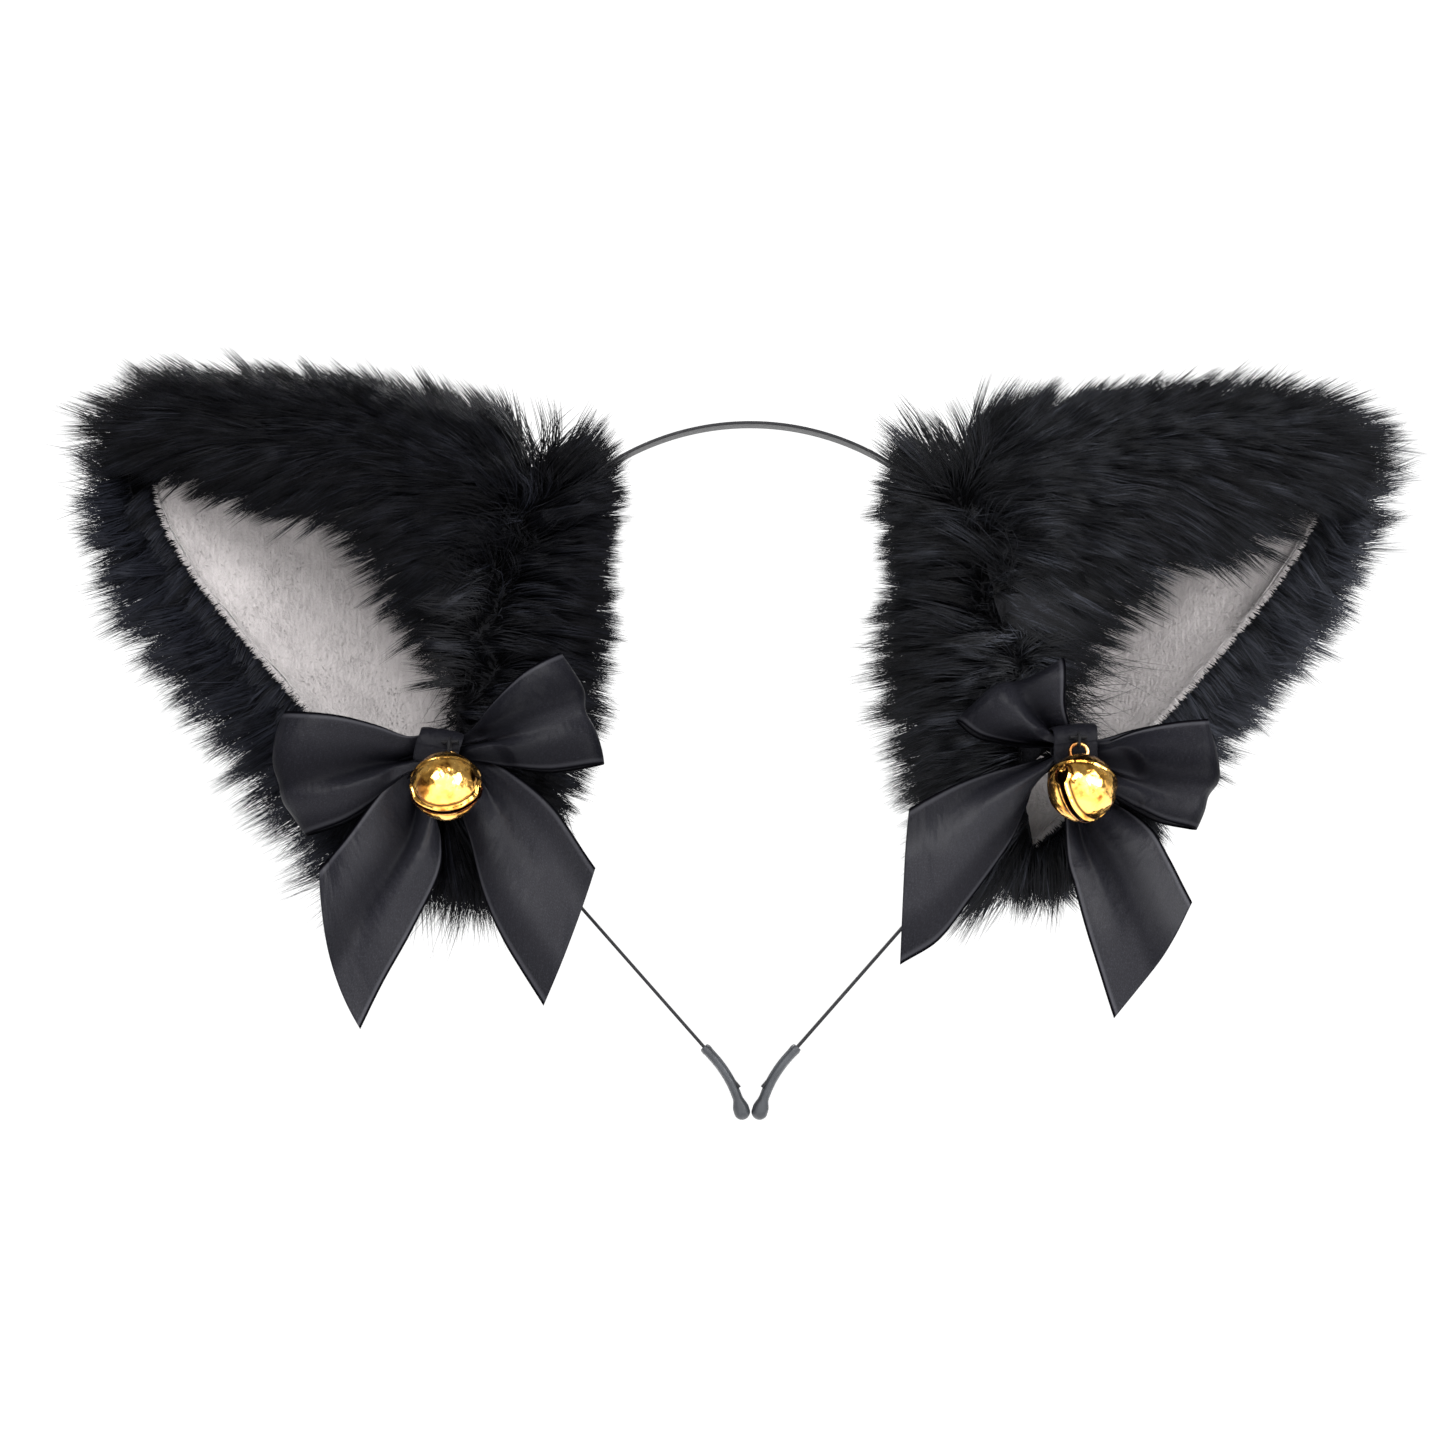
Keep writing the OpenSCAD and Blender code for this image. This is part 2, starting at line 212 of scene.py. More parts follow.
class Nodes:
    """The node tree of a material or a world, and short calls that add nodes to it."""

    def __init__(self, owner, shader="Principled BSDF", **sockets):
        self.owner = bpy.data.materials.new(owner) if isinstance(owner, str) else owner
        self.owner.use_nodes = True
        self.tree = self.owner.node_tree
        self.shader = self.tree.nodes[shader]
        for key, value in sockets.items():
            socket = "Specular IOR Level" if key == "specular" else key.replace("_", " ").title()
            self.shader.inputs[socket].default_value = value

    def feed(self, socket, value):
        """Link an output to a socket, or set the socket's own value."""
        if isinstance(value, bpy.types.NodeSocket):
            self.tree.links.new(value, socket)
        else:
            socket.default_value = value

    def add(self, kind, **inputs):
        node = self.tree.nodes.new("ShaderNode" + kind)
        for key, value in inputs.items():
            self.feed(node.inputs[key], value)
        return node

    def set(self, name, output):
        self.tree.links.new(output, self.shader.inputs[name])

    def place(self, stretch=(1, 1, 1), rotation=(0, 0, 0)):
        where = self.add("TexCoord").outputs["Object"]
        return self.add("Mapping", Vector=where, Scale=stretch, Rotation=rotation).outputs["Vector"]

    def noise(self, scale, detail=3.0, roughness=0.5, **place):
        return self.add("TexNoise", Vector=self.place(**place), Scale=scale, Detail=detail,
                        Roughness=roughness).outputs["Fac"]

    def attribute(self, name):
        node = self.add("Attribute")
        node.attribute_name = name
        return node.outputs["Fac"]

    def uv(self, name):
        node = self.add("UVMap")
        node.uv_map = name
        return node.outputs["UV"]

    def ramp(self, value, *stops):
        node = self.add("ValToRGB", Fac=value)
        ramp = node.color_ramp
        while len(ramp.elements) < len(stops):
            ramp.elements.new(0.5)
        for element, (place, colour) in zip(ramp.elements, stops):
            element.position = place
            element.color = (*colour, 1) if hasattr(colour, "__len__") else (colour,) * 3 + (1,)
        return node.outputs["Color"]

    def maths(self, operation, *values):
        node = self.add("Math")
        node.operation = operation
        for socket, value in zip(node.inputs, values):
            self.feed(socket, value)
        return node.outputs[0]

    def blend(self, a, share, b, other):
        """The weighted sum of two values."""
        return self.maths("ADD", self.maths("MULTIPLY", a, share), self.maths("MULTIPLY", b, other))

    def mix(self, factor, a, b, blend="MIX"):
        node = self.add("Mix")
        node.data_type, node.blend_type = "RGBA", blend
        for key, value in ((0, factor), (6, a), (7, b)):
            self.feed(node.inputs[key], value)
        return node.outputs[2]

    def bump(self, height, strength, distance):
        node = self.add("Bump", Height=height, Strength=strength, Distance=distance * MM)
        self.set("Normal", node.outputs["Normal"])


def fur_material(name, dark, light, gloss):
    """Strands: u of their map is each strand's own tone, v runs from root to tip."""
    n = Nodes(name, specular=gloss)
    part = n.add("SeparateXYZ", Vector=n.uv("OFBake"))
    # the lightest tones are partly the fur's own varied tone and partly painted highlight streaks
    tone = n.ramp(part.outputs["X"], (0.0, dark), (0.55, lerp(np.array(dark), np.array(light), 0.18)),
                  (0.9, light))
    fade = n.ramp(part.outputs["Y"], (0.0, 0.35), (0.45, 0.8), (1.0, 1.0))
    n.set("Base Color", n.mix(1.0, tone, fade, "MULTIPLY"))
    n.set("Roughness", n.ramp(part.outputs["X"], (0.0, 0.58), (1.0, 0.38)))
    return n.owner


def speckled(name, noise, stops, bump=None, rough=None, stretch=(1, 1, 1), **sockets):
    """A material whose colour, roughness and small relief follow one noise."""
    n = Nodes(name, **sockets)
    grain = n.noise(*noise, stretch=stretch)
    n.set("Base Color", n.ramp(grain, *stops))
    if rough:
        n.set("Roughness", n.ramp(grain, *rough))
    if bump:
        n.bump(grain, *bump)
    return n.owner


def plush_material():
    n = Nodes("plush", roughness=0.9, specular=0.15, sheen_weight=0.15, sheen_roughness=0.5)
    combed = n.noise(800, stretch=(1.6, 1.6, 0.3), rotation=(0, 0.2, 0))
    both = n.blend(n.noise(60, detail=2), 0.45, combed, 0.55)
    n.set("Base Color", n.ramp(both, (0.32, (0.195, 0.182, 0.182)), (0.5, (0.235, 0.221, 0.219)),
                               (0.68, (0.27, 0.254, 0.252))))
    n.bump(n.maths("ADD", combed, n.noise(1500, detail=2)), 0.6, 0.5)
    return n.owner


def satin_material():
    """Ribbon: u of its map runs across its width, v along it, both in ribbon widths."""
    n = Nodes("satin")
    uv = n.uv("ribbon")

    def weave(detail, *scale):
        where = n.add("Mapping", Vector=uv, Scale=scale).outputs["Vector"]
        return n.add("TexNoise", Vector=where, Scale=1.0, Detail=detail).outputs["Fac"]

    threads, grain, wrinkles = weave(3.0, 340, 34, 1), weave(4.0, 95, 95, 1), weave(2.0, 5, 7, 1)
    across = n.add("SeparateXYZ", Vector=uv).outputs["X"]
    from_middle = n.maths("ABSOLUTE", n.maths("SUBTRACT", across, 0.5))
    selvage = n.ramp(from_middle, (0.44, 0.0), (0.462, 1.0), (0.474, 0.9), (0.482, 0.0))
    outline = n.ramp(from_middle, (0.474, 0.0), (0.486, 1.0))
    both = n.blend(threads, 0.5, grain, 0.5)
    cloth = n.ramp(both, (0.36, (0.0024, 0.0024, 0.0035)), (0.52, (0.006, 0.006, 0.008)),
                   (0.66, (0.019, 0.019, 0.024)))
    edged = n.mix(selvage, cloth, (0.022, 0.022, 0.026, 1))
    # painted shade: the shade attribute darkens the pleats' valleys, the knot and the loops and dulls
    # their gloss; outline adds a dark line along the ribbon's edges
    shade = n.maths("MAXIMUM", n.attribute("shade"), outline)
    n.set("Base Color", n.mix(shade, edged, (0.0008, 0.0008, 0.0012, 1)))
    n.set("Specular IOR Level", n.ramp(shade, (0.0, 0.095), (0.45, 0.03), (1.0, 0.005)))
    n.set("Roughness", n.ramp(both, (0.36, 0.3), (0.64, 0.5)))
    height = n.blend(both, 0.35, wrinkles, 2.2)
    n.bump(n.maths("ADD", height, n.maths("MULTIPLY", selvage, 0.25)), 0.5, 0.35)
    return n.owner


def brass_material(name, dull, gilt, bright):
    """Thin gilt plating over pressed sheet, with painted shade in the grooves beside the lips and at the
    slot's edge, and dark lines either side of the crimped joint.
    """
    n = Nodes(name, metallic=1.0)
    tint = n.ramp(n.noise(260), (0.36, dull), (0.47, gilt), (0.6, bright))
    # painted shade: the attribute darkens the grooves by the lips and the slot's edge, and draws dark
    # lines either side of the joint
    n.set("Base Color", n.mix(n.attribute("lip_shade_and_joint_lines"), tint, (0.035, 0.008, 0.003, 1)))
    n.set("Roughness", n.ramp(n.noise(700), (0.35, 0.13), (0.7, 0.3)))
    n.bump(n.noise(330, detail=2), 0.6, 0.9)
    return n.owner


def steel_material():
    n = Nodes("band_steel", specular=0.12)
    worn = n.noise(700, detail=5, stretch=(1, 6, 1))
    n.set("Base Color", n.ramp(worn, (0.3, (0.003, 0.003, 0.004)), (0.62, (0.006, 0.006, 0.007)),
                               (0.78, (0.018, 0.018, 0.02))))
    n.set("Roughness", n.ramp(worn, (0.3, 0.3), (0.7, 0.48)))
    n.bump(n.noise(2400), 0.12, 0.06)
    return n.owner


def rubber_material():
    n = Nodes("cap_rubber", specular=0.25)
    grain = n.noise(1500, detail=4)
    n.set("Base Color", n.ramp(n.noise(240), (0.3, (0.012, 0.013, 0.015)), (0.7, (0.024, 0.026, 0.03))))
    n.set("Roughness", n.ramp(grain, (0.3, 0.42), (0.7, 0.6)))
    n.bump(grain, 0.3, 0.1)
    return n.owner


def thread_material():
    n = Nodes("sewing_thread", roughness=0.7, specular=0.1)
    twist = n.add("TexWave", Vector=n.place(rotation=(0, 0.7, 0.7)), Scale=2600.0).outputs["Fac"]
    n.set("Base Color", n.ramp(twist, (0.2, (0.002, 0.002, 0.0025)), (0.8, (0.009, 0.009, 0.01))))
    n.bump(twist, 0.5, 0.05)
    return n.owner


# painted highlight: the right ear has its own lighter, glossier copy of the same black fur, where that
# ear catches more light
FUR = {LEFT: fur_material("fur_left", (0.0008, 0.0008, 0.0012), (0.012, 0.013, 0.018), 0.07),
       RIGHT: fur_material("fur_right", (0.0012, 0.0013, 0.0017), (0.024, 0.026, 0.033), 0.10)}
BACKING = speckled("backing_cloth", (2600, 2), roughness=0.95, specular=0.1,
                   stops=((0.3, (0.002, 0.002, 0.003)), (0.7, (0.008, 0.008, 0.01))), bump=(0.6, 0.3))
# the matted underfur: streaks along the lie of the hair, almost black
WOOL = speckled("underfur", (900, 5, 0.7), stretch=(1, 1, 0.4), roughness=0.9, specular=0.05,
                bump=(0.8, 0.6), stops=((0.35, (0.0008, 0.0008, 0.001)), (0.75, (0.006, 0.006, 0.007))))
# painted shade: the bell's inner faces are made dark brown to stand in for the shade inside the closed
# shell
BELL_INSIDE_SHADE = speckled("bell_inside", (500, 4), roughness=0.6, metallic=1.0, bump=(0.3, 0.1),
                   stops=((0.3, (0.015, 0.006, 0.003)), (0.7, (0.06, 0.03, 0.012))))
FELT = speckled("sleeve_felt", (1300, 6, 0.7), roughness=0.95,
                stops=((0.3, (0.008, 0.008, 0.009)), (0.75, (0.035, 0.035, 0.037))), bump=(0.9, 0.4))
INTERLINING = speckled("interlining", (900, 6, 0.75), roughness=0.9,
                       stops=((0.3, (0.52, 0.52, 0.49)), (0.75, (0.74, 0.74, 0.71))), bump=(0.6, 0.2))
PELLET = speckled("pellet_steel", (900, 4), rough=((0.3, 0.22), (0.7, 0.42)),
                  stops=((0.3, (0.4, 0.4, 0.41)), (0.7, (0.6, 0.6, 0.61))), metallic=1.0)
PLUSH = plush_material()
SATIN = satin_material()
BRASS = brass_material("bell_brass", (0.22, 0.085, 0.014), (0.74, 0.38, 0.075), (0.88, 0.51, 0.13))
WIRE = brass_material("loop_brass", (0.05, 0.016, 0.005), (0.14, 0.06, 0.018), (0.55, 0.32, 0.12))
STEEL = steel_material()
RUBBER = rubber_material()
THREAD = thread_material()


# ---- The ear's shape, as in part.scad ----

EAR_BASE = np.array([66.0, 5.0])
TIP = {LEFT: np.array([136.0, 50.0]), RIGHT: np.array([130.0, 47.0])}
FLAP = {LEFT: 156.0, RIGHT: 172.0}
FLAP_AT_BASE = {LEFT: 178.0, RIGHT: 182.0}
FLAP_TURN = {LEFT: 13.0, RIGHT: 15.0}    # how much further the flap folds over towards the tip
RIM = -98.0
RIM_WIDTH = {LEFT: 41.0, RIGHT: 36.5}    # half width of the cup on the rim's side of its axis
HALF_WIDTH, HALF_DEPTH, MID_Y = 42.0, 18.0, -4.0
EAR_FROM = {LEFT: -0.05, RIGHT: -0.13}   # the fabric starts inside the strip that wraps the base
KNOT = {LEFT: np.array([68.2, -18.2]), RIGHT: np.array([70.4, -17.2])}


def both_arrays(a, b):
    return np.broadcast_arrays(np.asarray(a, float), np.asarray(b, float))


def flap_edge(s, side):
    return (lerp(FLAP_AT_BASE[side], FLAP[side], smooth(s / 0.42))
            + FLAP_TURN[side] * smooth((s - 0.35) / 0.35))


def phi_at(s, j, side):
    """The angle at j, from 0 at the lower rim to 1 at the flap's edge."""
    return RIM + (flap_edge(s, side) - RIM) * j


def across(s):
    a = np.radians(105 + 22 * s)
    return np.stack([np.cos(a), np.sin(a)], -1)


def ear_axis(s, side):
    return (EAR_BASE + s[..., None] * (TIP[side] - EAR_BASE)
            + 2 * np.sin(np.pi * np.clip(s, 0, 1))[..., None] * across(s))


def to_world(outboard_up, y, side):
    return np.stack([side * outboard_up[..., 0], np.broadcast_to(y, outboard_up.shape[:-1]),
                     outboard_up[..., 1]], -1)


def inside_ear(s, side):
    return to_world(ear_axis(s, side), MID_Y, side)


def ear_point(s, phi, side, d=0.0, reach=0.0):
    """A point on the ear's fabric, d outside it. The cup is slimmer where it joins the base."""
    s, phi = both_arrays(s, np.radians(phi))
    half = np.where(np.sin(phi) < 0, RIM_WIDTH[side], HALF_WIDTH)
    taper = np.sqrt(np.clip(1 - s, 0, 1.3))
    slim = 0.72 + 0.28 * smooth(s / 0.25)
    along = unit(TIP[side] - EAR_BASE)
    c = (ear_axis(s, side) + ((half * taper + d) * np.sin(phi))[..., None] * across(s)
         + np.asarray(reach)[..., None] * along)
    y = MID_Y + (HALF_DEPTH * taper * slim + d) * np.cos(phi)
    return to_world(c, y, side)


def from_edges(s, phi, side):
    """0 at the fabric's two long edges, 1 well inside them."""
    return smooth((phi - RIM) / 16) * smooth((flap_edge(s, side) - phi) / 22)


def underfur_point(s, j, side):
    """The dense wool under the long hairs: it thins away at the fabric's edges and round the tip."""
    s, j = both_arrays(s, j)
    phi = phi_at(s, j, side)
    edge = from_edges(s, phi, side)
    end = np.sqrt(np.clip(1 - s ** 8, 0, 1))
    p = ear_point(s, phi, side, 0.4 + 6.0 * edge * end, 7.0 * np.clip(s, 0, 1) ** 6)
    return p + 0.7 * (edge * end)[..., None] * waves(p, 8, 77 + side)


SEAM = {LEFT: [(69, -37), (66, -18), (64.5, 5), (60, 27), (53, 47)],   # strip against the ear
        RIGHT: [(63, -40), (60, -21), (63, 4), (60, 27), (53, 47)]}
INNER = [(60, -41), (53.5, -20), (47.5, 6), (43, 32), (39, 51)]    # and its edge inside the band
BACK_LAP = 6.0            # how much further the strip laps over the ear at the back


def base_point(v, w, side, d=0.0):
    """The base wrap: v runs up along the band, w from the front seam round the inside to the back."""
    v, w = both_arrays(v, w)
    turn = np.pi * w
    seam = through(SEAM[side], v) + BACK_LAP * smooth((w - 0.5) / 0.5)[..., None] * [1.0, 0.0]
    inner = through(INNER, v) - [1.0, 0.0] * np.asarray(d)[..., None]
    reach = np.abs(np.sin(turn)) ** 0.85
    depth = 4.5 + 8.5 * np.sqrt(np.clip(1 - (2 * v - 1) ** 2 * 0.93, 0, 1)) + d
    c = lerp(seam, inner, reach[..., None])
    y = MID_Y * (1 - reach) - depth * np.cos(turn)
    return to_world(c, y, side)


def base_wool_point(v, w, side):
    v, w = both_arrays(v, w)
    ends = smooth(v / 0.12) * smooth((1 - v) / 0.12)
    p = base_point(v, w, side, 0.4 + 3.4 * ends)
    return p + 0.6 * ends[..., None] * waves(p, 8, 91 + side)


# ---- Fur ----

def scatter(surface, side, a_range, b_range, count, rng):
    """Random places on surface(a, b, side), evenly by area."""
    a, b = np.linspace(*a_range, 49), np.linspace(*b_range, 65)
    grid = surface(a[:, None], b[None, :], side)
    area = np.linalg.norm(np.cross(grid[1:, :-1] - grid[:-1, :-1], grid[:-1, 1:] - grid[:-1, :-1]),
                          axis=-1)
    pick = rng.choice(area.size, count, p=(area / area.sum()).ravel())
    i, j = np.unravel_index(pick, area.shape)
    return a[i] + (a[1] - a[0]) * rng.random(count), b[j] + (b[1] - b[0]) * rng.random(count)


def surface_frame(surface, side, a, b, step_b, inside):
    """Points, outward normals and the two unit tangents of surface(a, b, side)."""
    step_a = 0.004
    p = surface(a, b, side)
    ta = unit(surface(a + step_a, b, side) - surface(a - step_a, b, side))
    tb = unit(surface(a, b + step_b, side) - surface(a, b - step_b, side))
    n = unit(np.cross(ta, tb))
    n *= np.sign(((p - inside) * n).sum(-1, keepdims=True))
    return p, n, ta, tb


TONES = 64                # steps of tone across the strands' map
RINGS = 3                 # three-sided rings on each strand, below its point


def strand_object(name, paths, radius, tone, material):
    """Tapered three-sided strands along paths (strand, RINGS + 1, 3)."""
    count = len(paths)
    chord = unit(paths[:, -1] - paths[:, 0])
    first = unit(np.cross(chord, unit(np.array([0.3, 1, 0.2]))))
    second = np.cross(chord, first)
    rings = []
    for k in range(RINGS):
        size = (radius * (1 - (k / RINGS) ** 1.6))[:, None]
        rings += [paths[:, k] + size * (math.cos(a) * first + math.sin(a) * second) for a in ring(3)]
    rings.append(paths[:, RINGS])
    verts = np.stack(rings, 1)
    tip = 3 * RINGS
    tris = []
    for k in range(0, tip - 3, 3):
        for c, d in ((0, 1), (1, 2), (2, 0)):
            tris += [(k + c, k + d, k + 3 + d), (k + c, k + 3 + d, k + 3 + c)]
    tris += [(tip - 3, tip - 2, tip), (tip - 2, tip - 1, tip), (tip - 1, tip - 3, tip), (2, 1, 0)]
    tris = np.array(tris)
    faces = (tris[None] + (np.arange(count) * (tip + 1))[:, None, None]).reshape(-1, 3)
    obj = new_object(name, verts.reshape(-1, 3), faces, material)
    u = np.where(tris == tip, 0.5, 0.2 + 0.3 * (tris % 3))
    u = (np.floor(tone * TONES)[:, None, None] + u) / TONES
    v = np.broadcast_to(0.01 + 0.98 * (tris // 3) / RINGS, u.shape)
    set_map(obj, "OFBake", u, v)
    return obj


def grow(name, roots, directions, lengths, droop, radius, material, seed, clump=3.2, pull=0.55,
         behind_bow=None, brightness=0.42):
    """Strands that lean on into their droop, gathered into pointed tufts.

    behind_bow is the side whose bow presses them back, if any."""
    rng = np.random.default_rng(seed)
    count = len(roots)
    t = np.linspace(0, 1, RINGS + 1)[None, :, None]
    seeds = rng.choice(count, max(8, int(count / (clump * clump * 2.2))), replace=False)
    tuft_length = rng.uniform(0.82, 1.12, len(seeds))
    tuft_turn = rng.normal(0, 0.12, (len(seeds), 3))
    # lighter and darker tufts: partly the fur's own tone, partly painted highlight streaks
    tuft_tone = rng.normal(0, 0.16, len(seeds))
    near = np.empty(count, int)
    for start in range(0, count, 4000):
        block = roots[start:start + 4000]
        gap = ((block[:, None] - roots[seeds][None]) ** 2).sum(-1)
        near[start:start + 4000] = gap.argmin(1)
    directions = unit(unit(directions) + tuft_turn[near] + rng.normal(0, 0.075, (count, 3)))
    lengths = lengths * tuft_length[near] * rng.uniform(0.72, 1.05, count)

    def path(p, d, sag, size):
        return p[:, None] + (d[:, None] * t + sag[:, None] * t ** 2) * size[:, None, None]

    own = path(roots, directions, droop, lengths)
    lead = own[seeds][near]
    hold = (pull * rng.uniform(0.55, 1.25, count))[:, None, None] * t ** 1.4
    paths = lerp(own, lead, np.clip(hold, 0, 0.96))
    if behind_bow:
        paths[..., 1] = np.maximum(paths[..., 1], flatten(paths, behind_bow))
    tone = np.clip(brightness + tuft_tone[near] + rng.normal(0, 0.14, count), 0, 0.999)
    return strand_object(name, paths, radius * rng.uniform(0.75, 1.2, count), tone, material)


def flatten(p, side):
    """Fur is pressed back behind the bow: the foremost Y that a point at p may have."""
    apart = np.linalg.norm(np.stack([side * p[..., 0], p[..., 2]], -1) - KNOT[side], axis=-1)
    return -22.5 - 40 * smooth((apart - 36) / 16)


def ear_fur(side):
    """The long fur, region by region from the rim round the back to the flap."""
    name = NAMES[side]
    to_tip = unit(to_world(TIP[side] - EAR_BASE, 0.0, side))
    regions = (  # name, range of j, strands, seed, pull into tufts, brightness
        # the rim's strands are made lighter than the rest: painted light, where the lower rim catches
        # the light
        ("rim", (0.0, 0.2), 11800, 11, 0.42, 0.8),
        ("back", (0.19, 0.62), 9500, 12, 0.5, 0.42),
        ("crest", (0.6, 0.82), 10500, 13, 0.5, 0.42),
        ("flap", (0.79, 1.0), 11800, 14, 0.5, 0.42),
    )
    for region, js, count, seed, pull, brightness in regions:
        rng = np.random.default_rng(seed * 7 + side)
        s, j = scatter(underfur_point, side, (EAR_FROM[side], 0.999), js, count, rng)
        p, n, along, around = surface_frame(underfur_point, side, s, j, 0.002, inside_ear(s, side))
        phi = phi_at(s, j, side)
        near_tip = smooth((s - 0.75) / 0.25)
        along = unit(lerp(along, to_tip, 0.6))
        fold = smooth((phi - 100) / 50)
        rim = smooth((-62 - phi) / 26)
        near_base = 1 - smooth(s / 0.22)
        # how far each strand lies over: flat on the flap and the back, prouder at the outline
        over = np.radians(58 + 14 * fold - 26 * rim - 14 * near_tip - 16 * near_base * (1 - fold))
        swing = 0.85 * fold - 0.12 * rim + 0.08
        lay = unit(along * (1 - 0.6 * near_base * rim)[:, None] + swing[:, None] * around)
        sway = waves(p, 20, seed + 40)
        down = -(0.6 * rim + 0.10)[:, None] * UP
        direction = np.cos(over)[:, None] * n + np.sin(over)[:, None] * lay + 0.15 * sway + down
        droop = 0.2 * lay - 0.12 * UP + 0.10 * waves(p, 12, seed + 60)
        edge = from_edges(s, phi, side)
        folded_in = 1 - smooth((flap_edge(s, side) - phi) / 20)
        crest = smooth((phi - 20) / 40) * (1 - smooth((phi - 130) / 20))
        more = 7.0 * (side < 0) * (1 - smooth(s / 0.6)) - 4.5 * near_tip - 6.0 * (side > 0)
        length = 21.5 - 4.5 * edge - 2.0 * fold + near_tip + more * rim
        length = length + crest * (2.5 * near_tip + 5.5 * near_base - 1.5)
        length = length * (1 - (0.36 if side < 0 else 0.26) * folded_in)
        yield grow(f"fur_{region}_{name}", p, direction, length, droop, 0.15, FUR[side],
                   seed * 13 + side, clump=2.6, pull=pull, behind_bow=side, brightness=brightness)
    # short fur from under the plush hides the cut edge of the rim
    rng = np.random.default_rng(91 + side)
    s = rng.uniform(-0.04, 0.985, 6500)
    p = ear_point(s, RIM + rng.uniform(-0.5, 1.5, s.size), side, rng.uniform(-2.2, 0.6, s.size))
    n = unit(ear_point(s, RIM, side, 1.0) - ear_point(s, RIM, side))
    direction = n - [0, 0.3, 0] + 0.55 * to_tip - 0.45 * UP + 0.3 * waves(p, 12, 92 + side)
    length = rng.uniform(6, 12, s.size)
    # these strands are lighter too: painted light on the rim
    yield grow(f"fur_edge_{name}", p, direction, length, 0.3 * n - 0.2 * UP, 0.14, FUR[side],
               93 + side, clump=2.0, pull=0.4, behind_bow=side, brightness=0.7)


def base_fur(side):
    """The fur of the strip round the base, fanned inward across the band."""
    for region, ws, count, seed in (("base_front", (0.0, 0.55), 9500, 21),
                                    ("base_back", (0.45, 1.0), 6000, 22)):
        rng = np.random.default_rng(seed * 7 + side)
        v, w = scatter(base_wool_point, side, (0.0, 1.0), ws, count, rng)
        inside = to_world(lerp(through(SEAM[side], v), through(INNER, v), 0.4), 0.0, side)
        p, n, *_ = surface_frame(base_wool_point, side, v, w, 0.004, inside)
        fan = 2 * v - 1
        lay = unit([-side, 0.0, 0.0] + 0.6 * signed_power(fan, 1.3)[:, None] * UP)
        ends = smooth((np.abs(fan) - 0.66) / 0.34)
        off_seam = smooth(np.minimum(w, 1 - w) / 0.3)
        over = np.radians(22 + 36 * off_seam)
        # above the bow, hairs by the front seam fall over it in uneven locks
        crossing = smooth((0.13 + 0.12 * waves(p, 14, 95)[:, 0] - w) / 0.12)
        crossing *= smooth((p[:, 2] + 12) / 12)
        lay = unit(lerp(lay, np.array([side, 0.0, 0.15]), crossing[:, None]))
        over = lerp(over, np.radians(52), crossing)
        direction = (np.cos(over)[:, None] * n + np.sin(over)[:, None] * lay
                     + (1.1 * ends * np.sign(fan))[:, None] * UP + 0.22 * waves(p, 20, seed + 40))
        droop = 0.2 * lay - 0.12 * UP + 0.12 * waves(p, 12, seed + 60)
        top = smooth((v - 0.45) / 0.3)
        inner = np.sin(np.pi * w) ** 2
        low = smooth((0.3 - v) / 0.2)
        short = (2.5 + 4.5 * top + 3.0 * low if side < 0 else 9.0 * top - 2.0) * inner
        length = 15.5 + 3.0 * ends + (1 - inner) * 3.0 * top - short
        yield grow(f"fur_{region}_{NAMES[side]}", p, direction, length, droop, 0.15, FUR[side],
                   seed * 13 + side, behind_bow=side)


def stray_hairs(side):
    """Loose hairs from the base seam that lie across the open cup beside the bow."""
    rng = np.random.default_rng(61 + side)
    count = 520
    v = rng.beta(1.6, 1.6, count) * (0.5 if side < 0 else 0.36) + (0.14 if side < 0 else 0.24)
    start = base_point(v, 0.03 + 0 * v, side, 2.0)
    start += np.stack([np.full(count, 6.0 * (side > 0)), rng.uniform(-1.5, 3.0, count), 0 * v], 1)
    direction = np.stack([side * rng.uniform(0.5, 1.1, count), rng.normal(0.05, 0.12, count),
                          rng.normal(-0.35 if side < 0 else -0.2, 0.4, count)], -1)
    droop = 0.4 * rng.normal(0, 1, (count, 3)) * [1, 0.2, 1] - 0.2 * UP
    length = rng.uniform(5, 11, count) if side < 0 else rng.uniform(10, 22, count)
    return grow(f"stray_hairs_{NAMES[side]}", start, direction, length, droop, 0.13,
                FUR[side], 62 + side, clump=1.7, pull=0.6)


def skirt(side):
    """The fur that hangs below the ear's base, behind the bow's tails."""
    rng = np.random.default_rng(81 + side)
    count = 5200 if side < 0 else 4200
    line = [(49, -27), (55, -36), (62, -40), (70, -38.5), (78, -34.5), (88, -26)]
    place = through(line, rng.random(count)) + rng.normal(0, 1.0, (count, 2))
    depth = rng.uniform(-16, 6, count)
    lift = rng.uniform(0, 9, count) * (side < 0) * (depth > -13)
    start = to_world(place + np.stack([0 * lift, lift], 1), depth, side)
    lean = (place[:, 0] - 64) / 34
    direction = np.stack([side * lean * 0.8, 0.05 * depth / 10, -1 + 0 * lean], -1)
    direction += 0.22 * waves(start, 14, 83 + side)
    droop = 0.25 * waves(start, 9, 84 + side)
    length = (24.0 if side < 0 else 16.0) * rng.uniform(0.6, 1.04, count)
    return grow(f"fur_skirt_{NAMES[side]}", start, direction, length, droop, 0.14,
                FUR[side], 85 + side, clump=2.2, pull=0.35, behind_bow=side)


